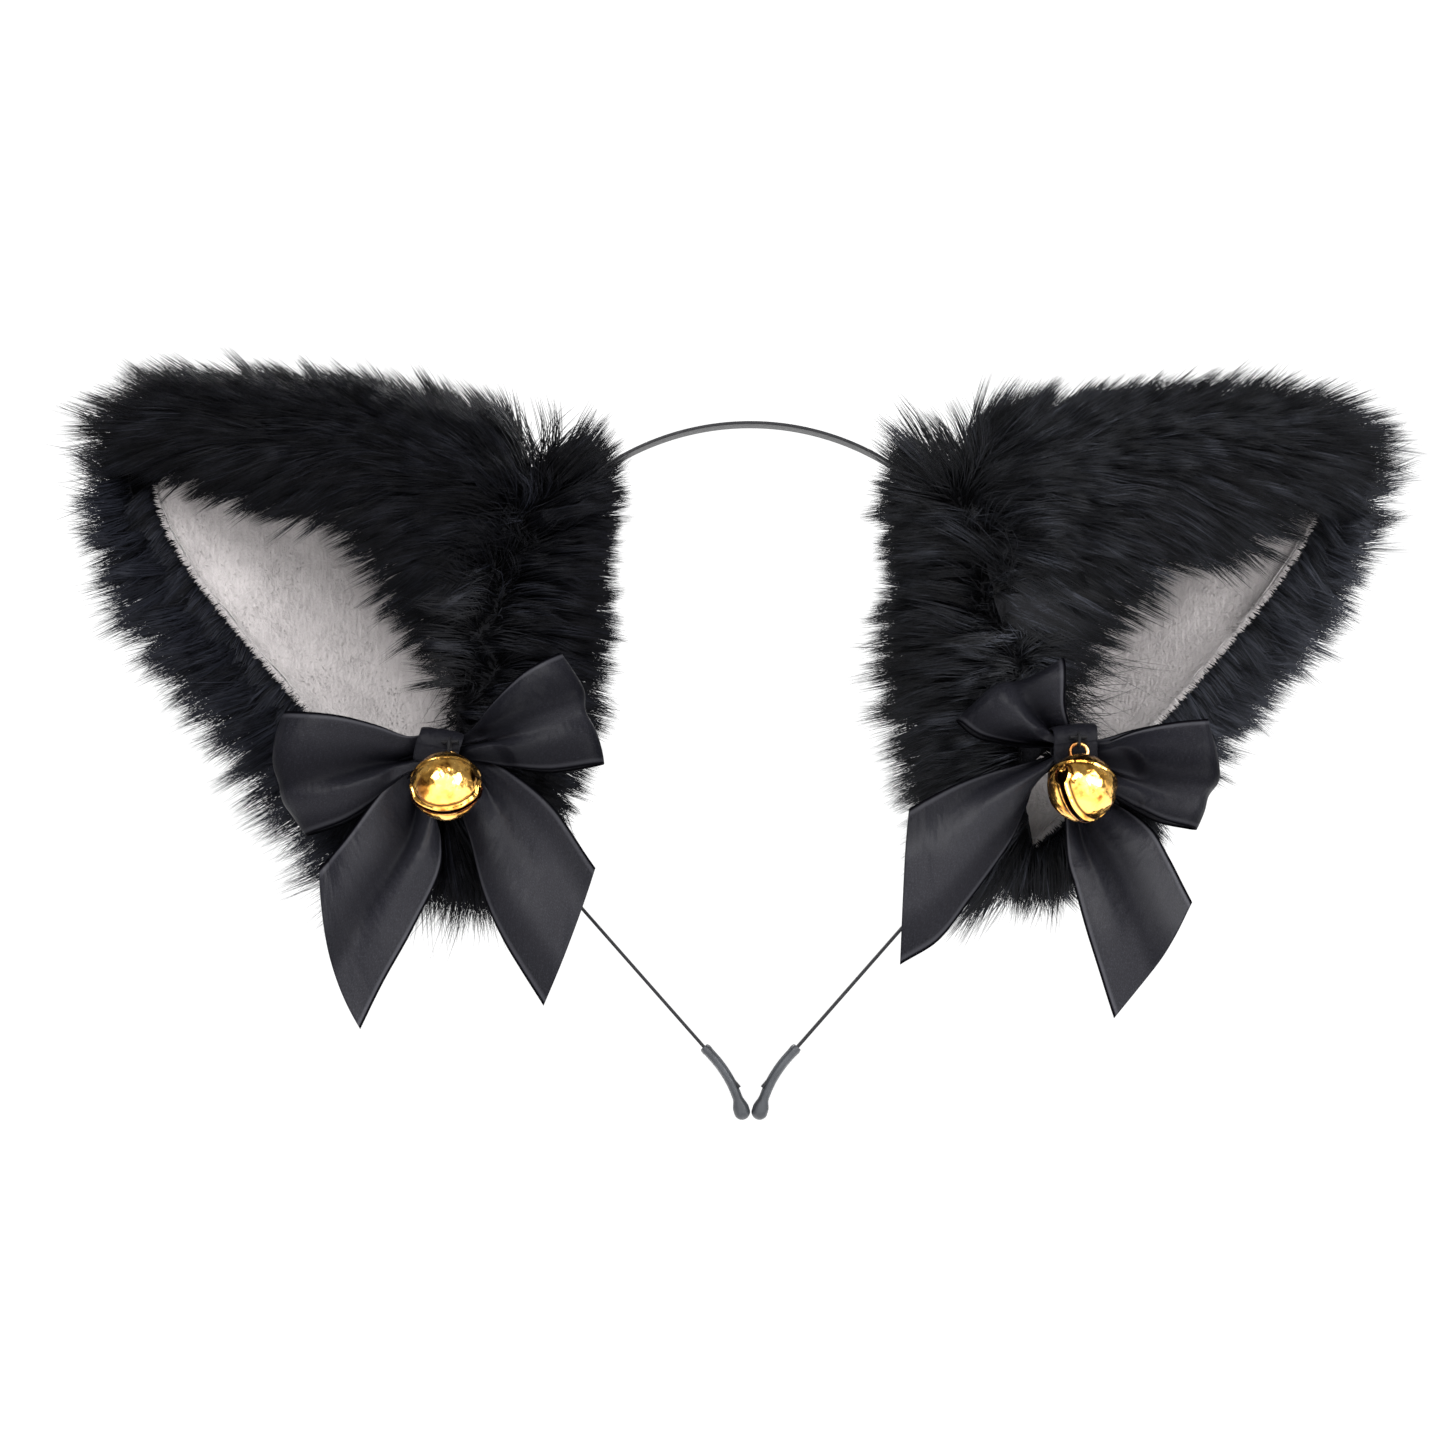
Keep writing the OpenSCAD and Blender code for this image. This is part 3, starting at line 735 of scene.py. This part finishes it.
def ear_cloth(side):
    """The fur's backing cloth over the ear and the strip that wraps the base, with their wool."""
    name = NAMES[side]
    s = 1 - (1 - np.linspace(0.0, 0.9995, 34)) ** 1.5 * (1 - EAR_FROM[side])
    s, j = s[:, None], (0.5 - 0.5 * np.cos(np.linspace(0, np.pi, 90)))[None]
    shell = grid_object(f"ear_cloth_{name}", ear_point(s, phi_at(s, j, side), side), BACKING,
                        flip=side > 0)
    thicken(shell, 0.8)
    v, w = np.linspace(0, 1, 34)[:, None], np.linspace(0, 1, 40)[None]
    wrap = grid_object(f"base_cloth_{name}", base_point(v, w, side), BACKING, flip=side < 0)
    thicken(wrap, 0.8)
    s = 1 - (1 - np.linspace(0.0, 1, 90)) ** 1.7 * (1 - EAR_FROM[side])
    j, v, w = np.linspace(0, 1, 150), np.linspace(0, 1, 70)[:, None], np.linspace(0, 1, 90)
    wool = [grid_object(f"ear_wool_{name}", underfur_point(s[:, None], j, side), WOOL, flip=side > 0),
            grid_object(f"base_wool_{name}", base_wool_point(v, w, side), WOOL, flip=side < 0)]
    return shell, wrap, wool


LINING_FROM, LINING_DEPTH = -0.2, -2.6


def lining_point(s, j, side):
    """The plush lies inside the cup; a flap of it hangs on past the ear's base."""
    s, j = both_arrays(s, j)
    phi = phi_at(np.clip(s, 0, 1), j, side)
    return ear_point(np.where(phi > -35, np.maximum(s, -0.02), s), phi, side, LINING_DEPTH)


def lining(side):
    s = np.linspace(LINING_FROM, 0.975, 90)
    points = lining_point(s[:, None], np.linspace(0, 1, 150)[None], side)
    inward = unit(inside_ear(s, side)[:, None] - points)
    bumps = waves(points, 3.2, 5 + side, 9)[..., :1] * 0.13 + waves(points, 11, 6 + side)[..., :1] * 0.45
    sheet = grid_object(f"lining_{NAMES[side]}", points + inward * bumps, PLUSH, flip=side > 0)
    thicken(sheet, 0.15)
    return sheet


def pile(side):
    """The plush's own short pile, and longer teeth along its cut edge."""
    name = NAMES[side]
    for kind, bs, count in (("pile", (0, 1), 5200), ("pile_edge", (0, 0.013), 3400)):
        rng = np.random.default_rng(31 + side)
        a, b = scatter(lining_point, side, (LINING_FROM, 0.97), bs, count, rng)
        p, n, along, _ = surface_frame(lining_point, side, a, b, 0.002, inside_ear(a, side))
        if kind == "pile":
            direction = -n * 0.9 + along * 0.1 - 0.45 * UP + 0.25 * waves(p, 6, 8)
            yield grow(f"{kind}_{name}", p, direction, 1.1, -0.25 * UP + 0 * p, 0.1, PLUSH,
                       35 + side, clump=0.9, pull=0.3)
        else:
            direction = n - [0, 0.7, 0] + 0.25 * waves(p, 3, 9)
            yield grow(f"{kind}_{name}", p, direction, 1.9, 0.2 * n, 0.15, PLUSH, 37 + side,
                       clump=1.2, pull=0.85)


for side in (LEFT, RIGHT):
    name = NAMES[side]
    shell, wrap, wool = ear_cloth(side)
    strands = [*ear_fur(side), wool[0], stray_hairs(side), skirt(side)]
    base_strands = [*base_fur(side), wool[1]]
    sheet, teeth = lining(side), list(pile(side))
    finish_piece(shell, side, "ear", "ear_fur")
    finish_piece(wrap, side, "ear", "base_fur")
    for piece in strands + base_strands:
        finish_piece(piece, side, "ear")
    finish_piece(sheet, side, "ear", "ear_lining")
    for piece in teeth:
        finish_piece(piece, side, "ear")
    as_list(teeth)


# ---- Swept strips ----

def sweep(name, side, line, out, section, material, scale=1.0):
    """A closed section (points outward and along Y) carried along a line, with open ends."""
    path, normal = to_world(line, 0.0, side), to_world(out, 0.0, side)
    scale = np.broadcast_to(scale, (len(path), 2))
    points = (path[:, None] + normal[:, None] * (section[None, :, :1] * scale[:, None, :1])
              + np.array([0.0, 1.0, 0.0]) * (section[None, :, 1:] * scale[:, None, 1:]))
    return grid_object(f"{name}_{NAMES[side]}", points, material, wrap_cols=True)


def rounded(half_a, half_b, corner, steps=4):
    """A rectangle with round corners, as points in order round it."""
    turn = np.linspace(0, np.pi / 2, steps)
    arc = np.stack([np.cos(turn), np.sin(turn)], 1) * corner
    out = []
    for k, (sa, sb) in enumerate(((1, 1), (-1, 1), (-1, -1), (1, -1))):
        c = np.array([sa * (half_a - corner), sb * (half_b - corner)])
        q = arc * [sa, sb]
        out.append(c + (q if k % 2 == 0 else q[::-1]))
    return np.concatenate(out)


# ---- Band, caps and sleeve, as in part.scad ----

CROWN_R, BAND_T, BAND_W, FLANK_R, LEG = 60.0, 0.7, 5.0, 80.0, 57.0
BEND_HALF = 13.5          # distance along the strip on each side of its flex point
BAND_MID_R = CROWN_R + BAND_T / 2
CROWN_END, FLANK_END, FLEX = math.radians(100), math.radians(131.6), math.radians(14)


def at(r, a, centre=(0.0, 0.0)):
    return np.stack([centre[0] + r * np.sin(a), centre[1] + r * np.cos(a)], -1)


FLANK_CENTRE = at(CROWN_R - FLANK_R, CROWN_END)
LEG_START = at(FLANK_R + BAND_T / 2, FLANK_END, FLANK_CENTRE)
LEG_DIR = np.array([math.cos(FLANK_END), -math.sin(FLANK_END)])


def band_line():
    """Points (outboard, up) along half the band from its top, and the direction outward."""
    a = np.linspace(0, CROWN_END, 90)[:-1]
    b = np.linspace(CROWN_END, FLANK_END, 30)
    t = np.linspace(0, LEG, 24)[1:, None]
    line = np.concatenate([at(BAND_MID_R, a), at(FLANK_R + BAND_T / 2, b, FLANK_CENTRE),
                           LEG_START + t * LEG_DIR])
    return line, at(1, np.concatenate([a, b, np.full(len(t), FLANK_END)]))


def spring_band(side):
    line, out = band_line()
    strip = sweep("spring_band", side, line, out, rounded(BAND_T / 2, BAND_W / 2, 0.16), STEEL)
    nodes = [f"band_side_{NAMES[side]}"] + (["band_crown"] if side == RIGHT else [])
    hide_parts(*nodes)
    pivot = at(BAND_MID_R, FLEX)
    along = np.array([math.cos(FLEX), -math.sin(FLEX)]) * BEND_HALF
    start, end = (to_world(q, 0.0, side) * MM for q in (pivot - along, pivot + along))
    tuple(start)
    tuple(end)
    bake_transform(strip)


FELT_T = 0.74
CAP_LINE = [(10.6, -83.4), (7.25, -87.15), (4.75, -90.9), (3.05, -94.7), (1.98, -98.0)]
BULB_R = 1.82


def tip_cap(side):
    """A moulded cap over the band's end: a flat sleeve with a round lip that swells into a bulb."""
    t = np.linspace(0, 1, 60)
    line = through(CAP_LINE, t)
    length = run_along(line)
    tangent = unit(np.gradient(line, axis=0))
    beyond = np.linspace(0, np.pi / 2, 14)[1:]
    line = np.concatenate([line, line[-1] + tangent[-1] * np.sin(beyond)[:, None] * BULB_R])
    tangent = np.concatenate([tangent, np.repeat(tangent[-1:], len(beyond), 0)])
    out = np.stack([tangent[:, 1], -tangent[:, 0]], 1)
    half = 1.14 + (BULB_R - 1.14) * smooth((length - length[-1] + 3.4) / 2.6)
    half *= 0.86 + 0.14 * smooth(length / 0.5) + 0.08 * hump(length - 0.9, 0.5)
    wide = 3.15 * (0.95 + 0.05 * smooth(length / 0.5)) - 0.35 * smooth((length - 6) / 8)
    closing = np.cos(beyond)
    half = np.concatenate([half, BULB_R * closing + 0.02])
    wide = np.concatenate([wide, 2.8 * closing + 0.02])
    section = signed_power(np.stack([np.cos(ring(36)), np.sin(ring(36))], 1), 0.75)
    cap = sweep("rubber_cap", side, line, out, section, RUBBER, np.stack([half, wide], 1))
    finish_piece(cap, side, "side", "tip_cap")


def felt_sleeve(side):
    """Felt tape sewn round the band, with an uneven surface."""
    a = np.linspace(math.radians(34), math.radians(99.8), 130)
    line, out = at(BAND_MID_R, a), at(1, a)
    section = rounded(BAND_T / 2 + FELT_T, BAND_W / 2 + FELT_T, 0.7, 6)
    sleeve = sweep("felt_tape", side, line, out, section, FELT)
    modify(sleeve, "SUBSURF", levels=1, render_levels=1, subdivision_type="SIMPLE")
    thicken(sleeve, 0.6)
    apply_modifiers(sleeve)
    p = np.empty(len(sleeve.data.vertices) * 3, np.float32)
    sleeve.data.vertices.foreach_get("co", p)
    p = p.reshape(-1, 3) / MM
    p += 0.07 * waves(p, 1.6, 51 + side, 12)
    sleeve.data.vertices.foreach_set("co", (p * MM).astype(np.float32).ravel())
    finish_piece(sleeve, side, "side", "ear_sleeve")


def seam_stitches(side):
    """Whip stitches that join the ear to the strip of fur: a helix of three-ply thread."""
    count, steps = 21, 21 * 16
    k = np.linspace(-34, 34, steps)[:, None]
    turn = 2 * np.pi * np.linspace(0, count, steps)
    offset = np.stack([0.9 * np.cos(turn) - 2.2, 0 * turn], 1)
    path = to_world(EAR_BASE + k * across(0.0) + offset, -11.2 + np.sin(turn), side)
    tangent = unit(np.gradient(path, axis=0))
    first = unit(np.cross(tangent, [0.31, 0.22, 0.93]))
    second = np.cross(tangent, first)
    around = ring(8)[None]
    lobes = 0.22 * (1 + 0.16 * np.cos(3 * (around - run_along(path)[:, None] * 3.0)))[..., None]
    points = path[:, None] + lobes * (np.cos(around)[..., None] * first[:, None]
                                      + np.sin(around)[..., None] * second[:, None])
    stitches = grid_object(f"seam_stitches_{NAMES[side]}", points, THREAD, wrap_cols=True)
    finish_piece(stitches, side, "ear", "seam_thread")


def interlining_sheet(side):
    """The ear's stiff non-woven interlining, between the fur's backing and the plush."""
    name = NAMES[side]
    s, j = np.linspace(0.0, 0.9, 60)[:, None], np.linspace(0.03, 0.97, 110)[None]
    points = ear_point(s, phi_at(s, j, side), side, -1.6)
    points = points + 0.08 * waves(points, 2.5, 57 + side)
    sheet = grid_object(f"interlining_{name}", points, INTERLINING, flip=side > 0)
    thicken(sheet, 0.35, 0)
    finish_piece(sheet, side, "ear", "ear_stiffener")


for side in (LEFT, RIGHT):
    spring_band(side)
    tip_cap(side)
    felt_sleeve(side)
    seam_stitches(side)
    interlining_sheet(side)


# ---- Bows ----
# Places are (x, z) in the frame's own axes. Each ribbon lies between two edges, read from the knot.

RIBBON = 25.0             # flat width of the satin ribbon
SPREAD = 27.0             # width that the gathers are worked out from

BOWS = {
    LEFT: dict(
        knot_turn=-9,
        outer=([(-69.6, -16.2), (-75.3, -16.8), (-82, -13.9), (-91, -11.5), (-101.7, -10.3)],
               [(-69.2, -21.0), (-74.5, -24.2), (-80.5, -28.8), (-88, -34.0), (-97.6, -37.6)], 4.0),
        inner=([(-66.8, -16.2), (-62.6, -14.9), (-57, -8.6), (-50, -1.6), (-41.6, 3.2)],
               [(-66.8, -20.0), (-61, -19.4), (-53, -21.8), (-44, -23.2), (-32.9, -21.7)], 1.6),
        tail_outer=([(-70.2, -19.2), (-77.3, -24.6), (-84, -32.5), (-89.4, -39.2), (-94.2, -44.3)],
                    [(-67.2, -20.4), (-69.6, -29), (-67.7, -38), (-68.2, -46), (-73.6, -57.6),
                     (-79.6, -68.6), (-84.8, -79.2)], 3.6),
        tail_inner=([(-66.2, -18.4), (-60, -20), (-52, -24.2), (-43, -31.5), (-34.0, -44.3)],
                    [(-66.8, -20.6), (-63.2, -28), (-60.6, -38), (-57.8, -50), (-53.6, -60.5),
                     (-45.2, -74.2)], 0.6)),
    RIGHT: dict(
        knot_turn=6,
        inner=([(69.6, -14.6), (68.6, -12), (67.9, -8.4), (68.2, -4), (68.8, 1.0)],
               [(68.6, -18.6), (62, -18.4), (55, -17.0), (49, -15.2), (44.4, -11.6)], 1.8),
        outer=([(71.8, -15.6), (76, -16.2), (84, -13.8), (93, -12.1), (101.3, -11.5)],
               [(71.8, -19.4), (77, -25.6), (82, -29.9), (89, -34.0), (96.2, -35.6)], 2.2),
        tail_inner=([(69.2, -17.8), (62, -20.1), (50.5, -23.5), (42, -27), (34.3, -31.4)],
                    [(69.6, -20.2), (64.5, -24.6), (61.9, -30), (58.3, -37), (53.7, -43.4),
                     (47.4, -51.8), (40.6, -60), (32.2, -65.4)], 0.5),
        tail_outer=([(72.0, -19), (77, -26.5), (83, -31), (88, -36), (91.3, -42.5), (95.8, -51.8)],
                    [(69.8, -20.2), (68.9, -30), (68.9, -41.8), (70.4, -49), (72.8, -58.6),
                     (75.8, -68.8), (78.4, -77.0)], 1.1)),
}
BELL_AT = {LEFT: (-65.4, -27.5), RIGHT: (70.6, -27.5)}
LOOP_SECTION = [(0.0, -27.6), (0.12, -28.9), (0.4, -31.0), (0.72, -32.4), (0.93, -31.6), (1.0, -28.6),
                (0.95, -25.4), (0.72, -24.0), (0.4, -24.6), (0.12, -26.2), (0.0, -27.2)]
TAIL_Y = [-25.2, -26.0, -28.6, -29.6, -29.8, -29.2]


ALONG, ACROSS = np.linspace(0, 1, 110), np.linspace(0, 1, 64)


def flat_ribbon(side, edges, t, y, bulge, power):
    """A ribbon before it is gathered: straight from one edge to the other, with a bulging far end."""
    a, b = (through(edge, t) for edge in edges)
    plan = lerp(a[:, None], b[:, None], ACROSS[None, :, None])
    outward = unit(np.mean([edge[-1] for edge in edges], 0) - KNOT[side] * [side, 1])
    plan = plan + (bulge * np.sin(np.pi * ACROSS)[None] * (t ** power)[:, None])[..., None] * outward
    return np.stack([plan[..., 0], np.broadcast_to(y[:, None], plan.shape[:2]), plan[..., 1]], -1)


def gather(base, folds, phase, seed, ripple, from_knot):
    """Pleats that take up the width the ribbon has to spare, deepest where it is pinched, with painted
    shade in their valleys and near the knot.

    from_knot is 0 at the knot and 1 at the ribbon's far end, where the pleats have faded away."""
    width = np.linalg.norm(base[:, -1] - base[:, 0], axis=-1)
    spare = np.sqrt(np.clip(SPREAD ** 2 - (0.85 * width) ** 2, 0, None))
    depth = np.minimum(0.28 * spare / folds, 3.0) * (1 - 0.8 * smooth(from_knot / 1.05))
    bent = ACROSS[None] + 0.05 * np.sin(2 * np.pi * ACROSS + 3.0 * ALONG[:, None] + phase)
    wave = np.sin(2 * np.pi * folds * bent + phase)
    wave = wave + 0.22 * np.sin(4 * np.pi * folds * bent + 1.7 * phase)
    normal = unit(np.cross(np.gradient(base, axis=0), np.gradient(base, axis=1)))
    soft = waves(base * [1, 0.4, 1], 26, seed, 5)[..., 0] * ripple * (0.3 + 0.7 * from_knot)[:, None]
    fine = waves(base, 8, seed + 1, 9)[..., 1] * 0.09
    pinched = 1 - 0.55 * smooth(from_knot / 0.9)[:, None]
    # painted shade: dark in the valleys of the pleats, fading away from the knot, and darker still right
    # by the knot
    shade = pinched * smooth((0.55 - wave) / 1.5) + 0.62 * (1 - smooth(from_knot / 0.36))[:, None]
    return base + normal * (depth[:, None] * wave + soft + fine)[..., None], np.clip(shade, 0, 1)


def behind_bell(points, side):
    """Hold a loop back behind the bell, which swings within 13 mm of where it hangs."""
    apart = np.linalg.norm(points[..., [0, 2]] - BELL_AT[side], axis=-1)
    points[..., 1] = np.maximum(points[..., 1], -30.6 - 12 * smooth((apart - 13) / 8))


def grid_corners(obj, cols):
    """The row and the column of each corner of a grid's faces."""
    corner = np.empty(len(obj.data.loops), np.int32)
    obj.data.loops.foreach_get("vertex_index", corner)
    return corner // cols, corner % cols


def ribbon_object(name, points, lengths, shade):
    obj = grid_object(name, points, SATIN)
    mark(obj, "shade", shade)
    row, col = grid_corners(obj, ACROSS.size)
    set_map(obj, "ribbon", col / (ACROSS.size - 1), lengths[row] / RIBBON)
    thicken(obj, 0.28, 0)
    return obj


def bow_loop(side, which, folds, phase, seed):
    *edges, bulge = BOWS[side][which]
    section = through(LOOP_SECTION, ALONG)
    out = np.clip(section[:, 0], 0, 1.01)
    base = flat_ribbon(side, edges, out, section[:, 1], bulge, 2)
    # the free edges of the front layer fall back a little from its middle
    base[..., 1] += smooth((0.55 - ALONG) / 0.12)[:, None] * 0.9 * (2 * ACROSS - 1) ** 2
    points, shade = gather(base, folds, phase, seed + side * 7, 0.9, out)
    behind_bell(points, side)
    run = run_along(points[:, ACROSS.size // 2])
    name = NAMES[side]
    # painted shade: the loops are darkened all over, on top of the shade in their folds
    obj = ribbon_object(f"ribbon_loop_{which}_{name}", points, run, np.clip(0.25 + 0.8 * shade, 0, 1))
    finish_piece(obj, side, "ear", f"bow_loop_{which}")


def tail(side, which, folds, phase, seed):
    *edges, bulge = BOWS[side][which]
    depth = through(np.array(TAIL_Y)[:, None], ALONG)[..., 0]
    base = flat_ribbon(side, edges, ALONG, depth, bulge, 3)
    base[..., 1] += 1.1 * (2 * ACROSS - 1)[None] ** 2 * smooth(ALONG / 0.4)[:, None]
    points, shade = gather(base, folds, phase, seed + side * 7, 1.0, ALONG)
    name = NAMES[side]
    run = run_along(points[:, ACROSS.size // 2])
    # painted shade from the pleats and the knot, a little weaker on the tails
    obj = ribbon_object(f"ribbon_{which}_{name}", points, run, 0.8 * shade)
    apply_modifiers(obj)
    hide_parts(f"{which}_{name}", *([f"tail_ribbon_{name}"] if which == "tail_outer" else []))
    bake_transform(obj)
    sides = [run_along(points[:, k])[-1] * MM for k in (0, -1)]


def knot(side):
    """A strip of the same ribbon, folded narrow and wrapped round the middle of the bow."""
    name, (x0, z0), turn = NAMES[side], KNOT[side] * [side, 1], math.radians(BOWS[side]["knot_turn"])
    around, x = ring(96)[None], np.linspace(-1, 1, 41)[:, None]
    waist = 1 - 0.10 * np.abs(x) ** 5
    crease = (0.10 * np.sin(x * 5 + 0.7) + 0.05 * np.sin(x * 11 + 2.0)) * (1 - np.abs(x) ** 6)
    px = 4.7 * x + 0.25 * np.sin(2 * around)
    py = -28.5 - (4.5 * waist + crease) * signed_power(np.cos(around), 0.72) * (1 - 0.06 * x ** 2)
    pz = (4.0 * waist + 0.6 * crease) * signed_power(np.sin(around), 0.8)
    points = np.stack([x0 + px * math.cos(turn) - pz * math.sin(turn), py,
                       z0 + px * math.sin(turn) + pz * math.cos(turn)], -1)
    points = points + 0.08 * waves(points, 4, 511 + side)
    rows, cols = points.shape[:2]
    obj = grid_object(f"ribbon_knot_{name}", points, SATIN, wrap_cols=True)
    row, col = grid_corners(obj, cols)
    set_map(obj, "ribbon", 0.05 + 0.9 * row / (rows - 1), col / cols)
    # painted shade: the whole knot is darkened evenly
    mark(obj, "shade", np.full(rows * cols, 0.4))
    thicken(obj, 0.5, 0)
    finish_piece(obj, side, "ear", "knot_wrap")


for side in (LEFT, RIGHT):
    knot(side)
    bow_loop(side, "outer", 1.6, 0.4, 305)
    bow_loop(side, "inner", 1.5, 2.1, 308)
    tail(side, "tail_outer", 1.3, 1.2, 400)
    tail(side, "tail_inner", 1.2, 4.4, 410)


# ---- Carried-over CAD nodes ----

def paint(node, material):
    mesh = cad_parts[node].data
    mesh.materials.clear()
    mesh.materials.append(material)


BELL_R, BELL_WALL = 7.5, 0.5
# where each bell's slot faces, and the way it runs
BELLS = {LEFT: ((0.08, -0.62, -0.78), (0.99, 0.07, 0.1)),
         RIGHT: ((-0.2, -0.5, -0.84), (0.635, 0.617, -0.464))}
SLOT_HALF, HOLE_R, HOLE_AT = 0.45, 1.6, math.radians(17)
JOINT_UP = 1.7            # height of the crimped joint between a bell's two halves


def bell(side):
    """A bell pressed from sheet, open along a slot that ends in two round holes, with raised lips."""
    middle = np.mean(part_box(f"bell_shell_{NAMES[side]}"), 0) / MM
    alpha = np.linspace(0.003, np.pi - 0.003, 131)
    from_pole = np.minimum(alpha, np.pi - alpha)
    hole = np.sqrt(np.clip((HOLE_R / BELL_R) ** 2 - (from_pole - HOLE_AT) ** 2, 0, None))
    slot = SLOT_HALF / BELL_R * (from_pole > HOLE_AT)
    gap = np.arcsin(np.clip(np.maximum(hole, slot) / np.sin(alpha), 0, 0.98))
    u = np.linspace(0, 1, 161)
    u = 0.5 - 0.5 * np.cos(np.pi * u) * (0.55 + 0.45 * np.cos(np.pi * u) ** 2)
    theta = gap[:, None] + u[None] * (2 * np.pi - 2 * gap[:, None])
    edge = (np.minimum(u, 1 - u)[None] * (2 * np.pi - 2 * gap[:, None]) * np.sin(alpha)[:, None]
            * BELL_R)
    along = smooth((from_pole - math.radians(3)) / math.radians(4))[:, None]
    lip = (0.42 * hump(edge, 0.55, 4) - 0.2 * hump(edge - 1.2, 0.4)) * along
    r = BELL_R - 0.1 + lip
    a = alpha[:, None]
    p = np.stack([np.cos(a) * r, np.sin(a) * np.sin(theta) * r, -np.sin(a) * np.cos(theta) * r], -1)
    joint = p[..., 2] - JOINT_UP
    p = p * (1 + 0.045 * hump(joint, 0.34) - 0.012 * (joint > 0.34))[..., None]
    p = p + unit(p) * 0.12 * waves(p, 6.0, 901 + side)[..., :1]
    slot_faces, slot_way = np.array(BELLS[side])
    crown_way = -unit(slot_faces)
    slot_way = unit(slot_way - crown_way * (slot_way @ crown_way))
    axes = np.stack([slot_way, np.cross(crown_way, slot_way), crown_way])
    obj = grid_object(f"jingle_bell_{NAMES[side]}", p @ axes + middle, BRASS)
    # painted shade in the grooves beside the lips and along the slot's cut edge; dark lines either side
    # of the crimped joint
    lip_shade_and_joint_lines = (hump(edge - 1.1, 0.36) + (edge < 0.12)) * along
    lip_shade_and_joint_lines = lip_shade_and_joint_lines + hump(joint - 0.75, 0.4) + 0.7 * hump(joint + 0.6, 0.22)
    mark(obj, "lip_shade_and_joint_lines", np.clip(lip_shade_and_joint_lines, 0, 1))
    # the inner faces take the bell's painted inside shade
    obj.data.materials.append(BELL_INSIDE_SHADE)
    thicken(obj, BELL_WALL, material_offset=1)
    finish_piece(obj, side, "bell", "bell_shell")


for side, name in NAMES.items():
    bell(side)
    for node, material in (("bell_stitch", THREAD), ("bell_thread", THREAD), ("bell_loop", WIRE),
                           ("bell_pellet", PELLET)):
        paint(f"{node}_{name}", material)


# ---- Stage ----

def stage():
    """A pale floor, a room with a pale wall behind the object, and four soft lights."""
    n = Nodes("floor", roughness=0.8, emission_strength=0.75)
    pale = n.ramp(n.noise(3, detail=1), (0.3, (0.86, 0.86, 0.86)), (0.7, (0.9, 0.9, 0.9)))
    n.set("Base Color", pale)
    n.set("Emission Color", pale)
    size, height = 6000.0, -190.0
    corners = [(x * size, y * size, height) for x, y in ((-1, -1), (1, -1), (1, 1), (-1, 1))]
    new_object("floor", corners, [[0, 1, 2, 3]], n.owner)
    scene.world = bpy.data.worlds.new("studio")
    n = Nodes(scene.world, "Background", strength=1.0)
    to_back = n.add("SeparateXYZ", Vector=n.add("TexCoord").outputs["Generated"]).outputs["Y"]
    room = n.ramp(n.maths("MULTIPLY_ADD", to_back, 0.5, 0.5), (0.0, (0.16, 0.16, 0.17)),
                  (0.5, (0.3, 0.3, 0.31)), (1.0, (0.9, 0.9, 0.9)))
    seen = n.add("LightPath").outputs["Is Camera Ray"]
    n.set("Color", n.mix(seen, room, (1.1, 1.1, 1.1, 1)))
    for name, place, size, power in (("key", (-320, -780, 520), 560, 15),
                                     ("fill", (600, -640, 220), 560, 12),
                                     ("front", (40, -950, 60), 760, 6),
                                     ("back", (0, 700, 600), 700, 12)):
        data = bpy.data.lights.new(name, "AREA")
        data.shape, data.size, data.energy = "DISK", size * MM, power
        light = bpy.data.objects.new(name, data)
        scene.collection.objects.link(light)
        light.location = Vector(place) * MM
        light.rotation_euler = (-light.location).to_track_quat("-Z", "Y").to_euler()
    scene.view_settings.view_transform = "Standard"


stage()
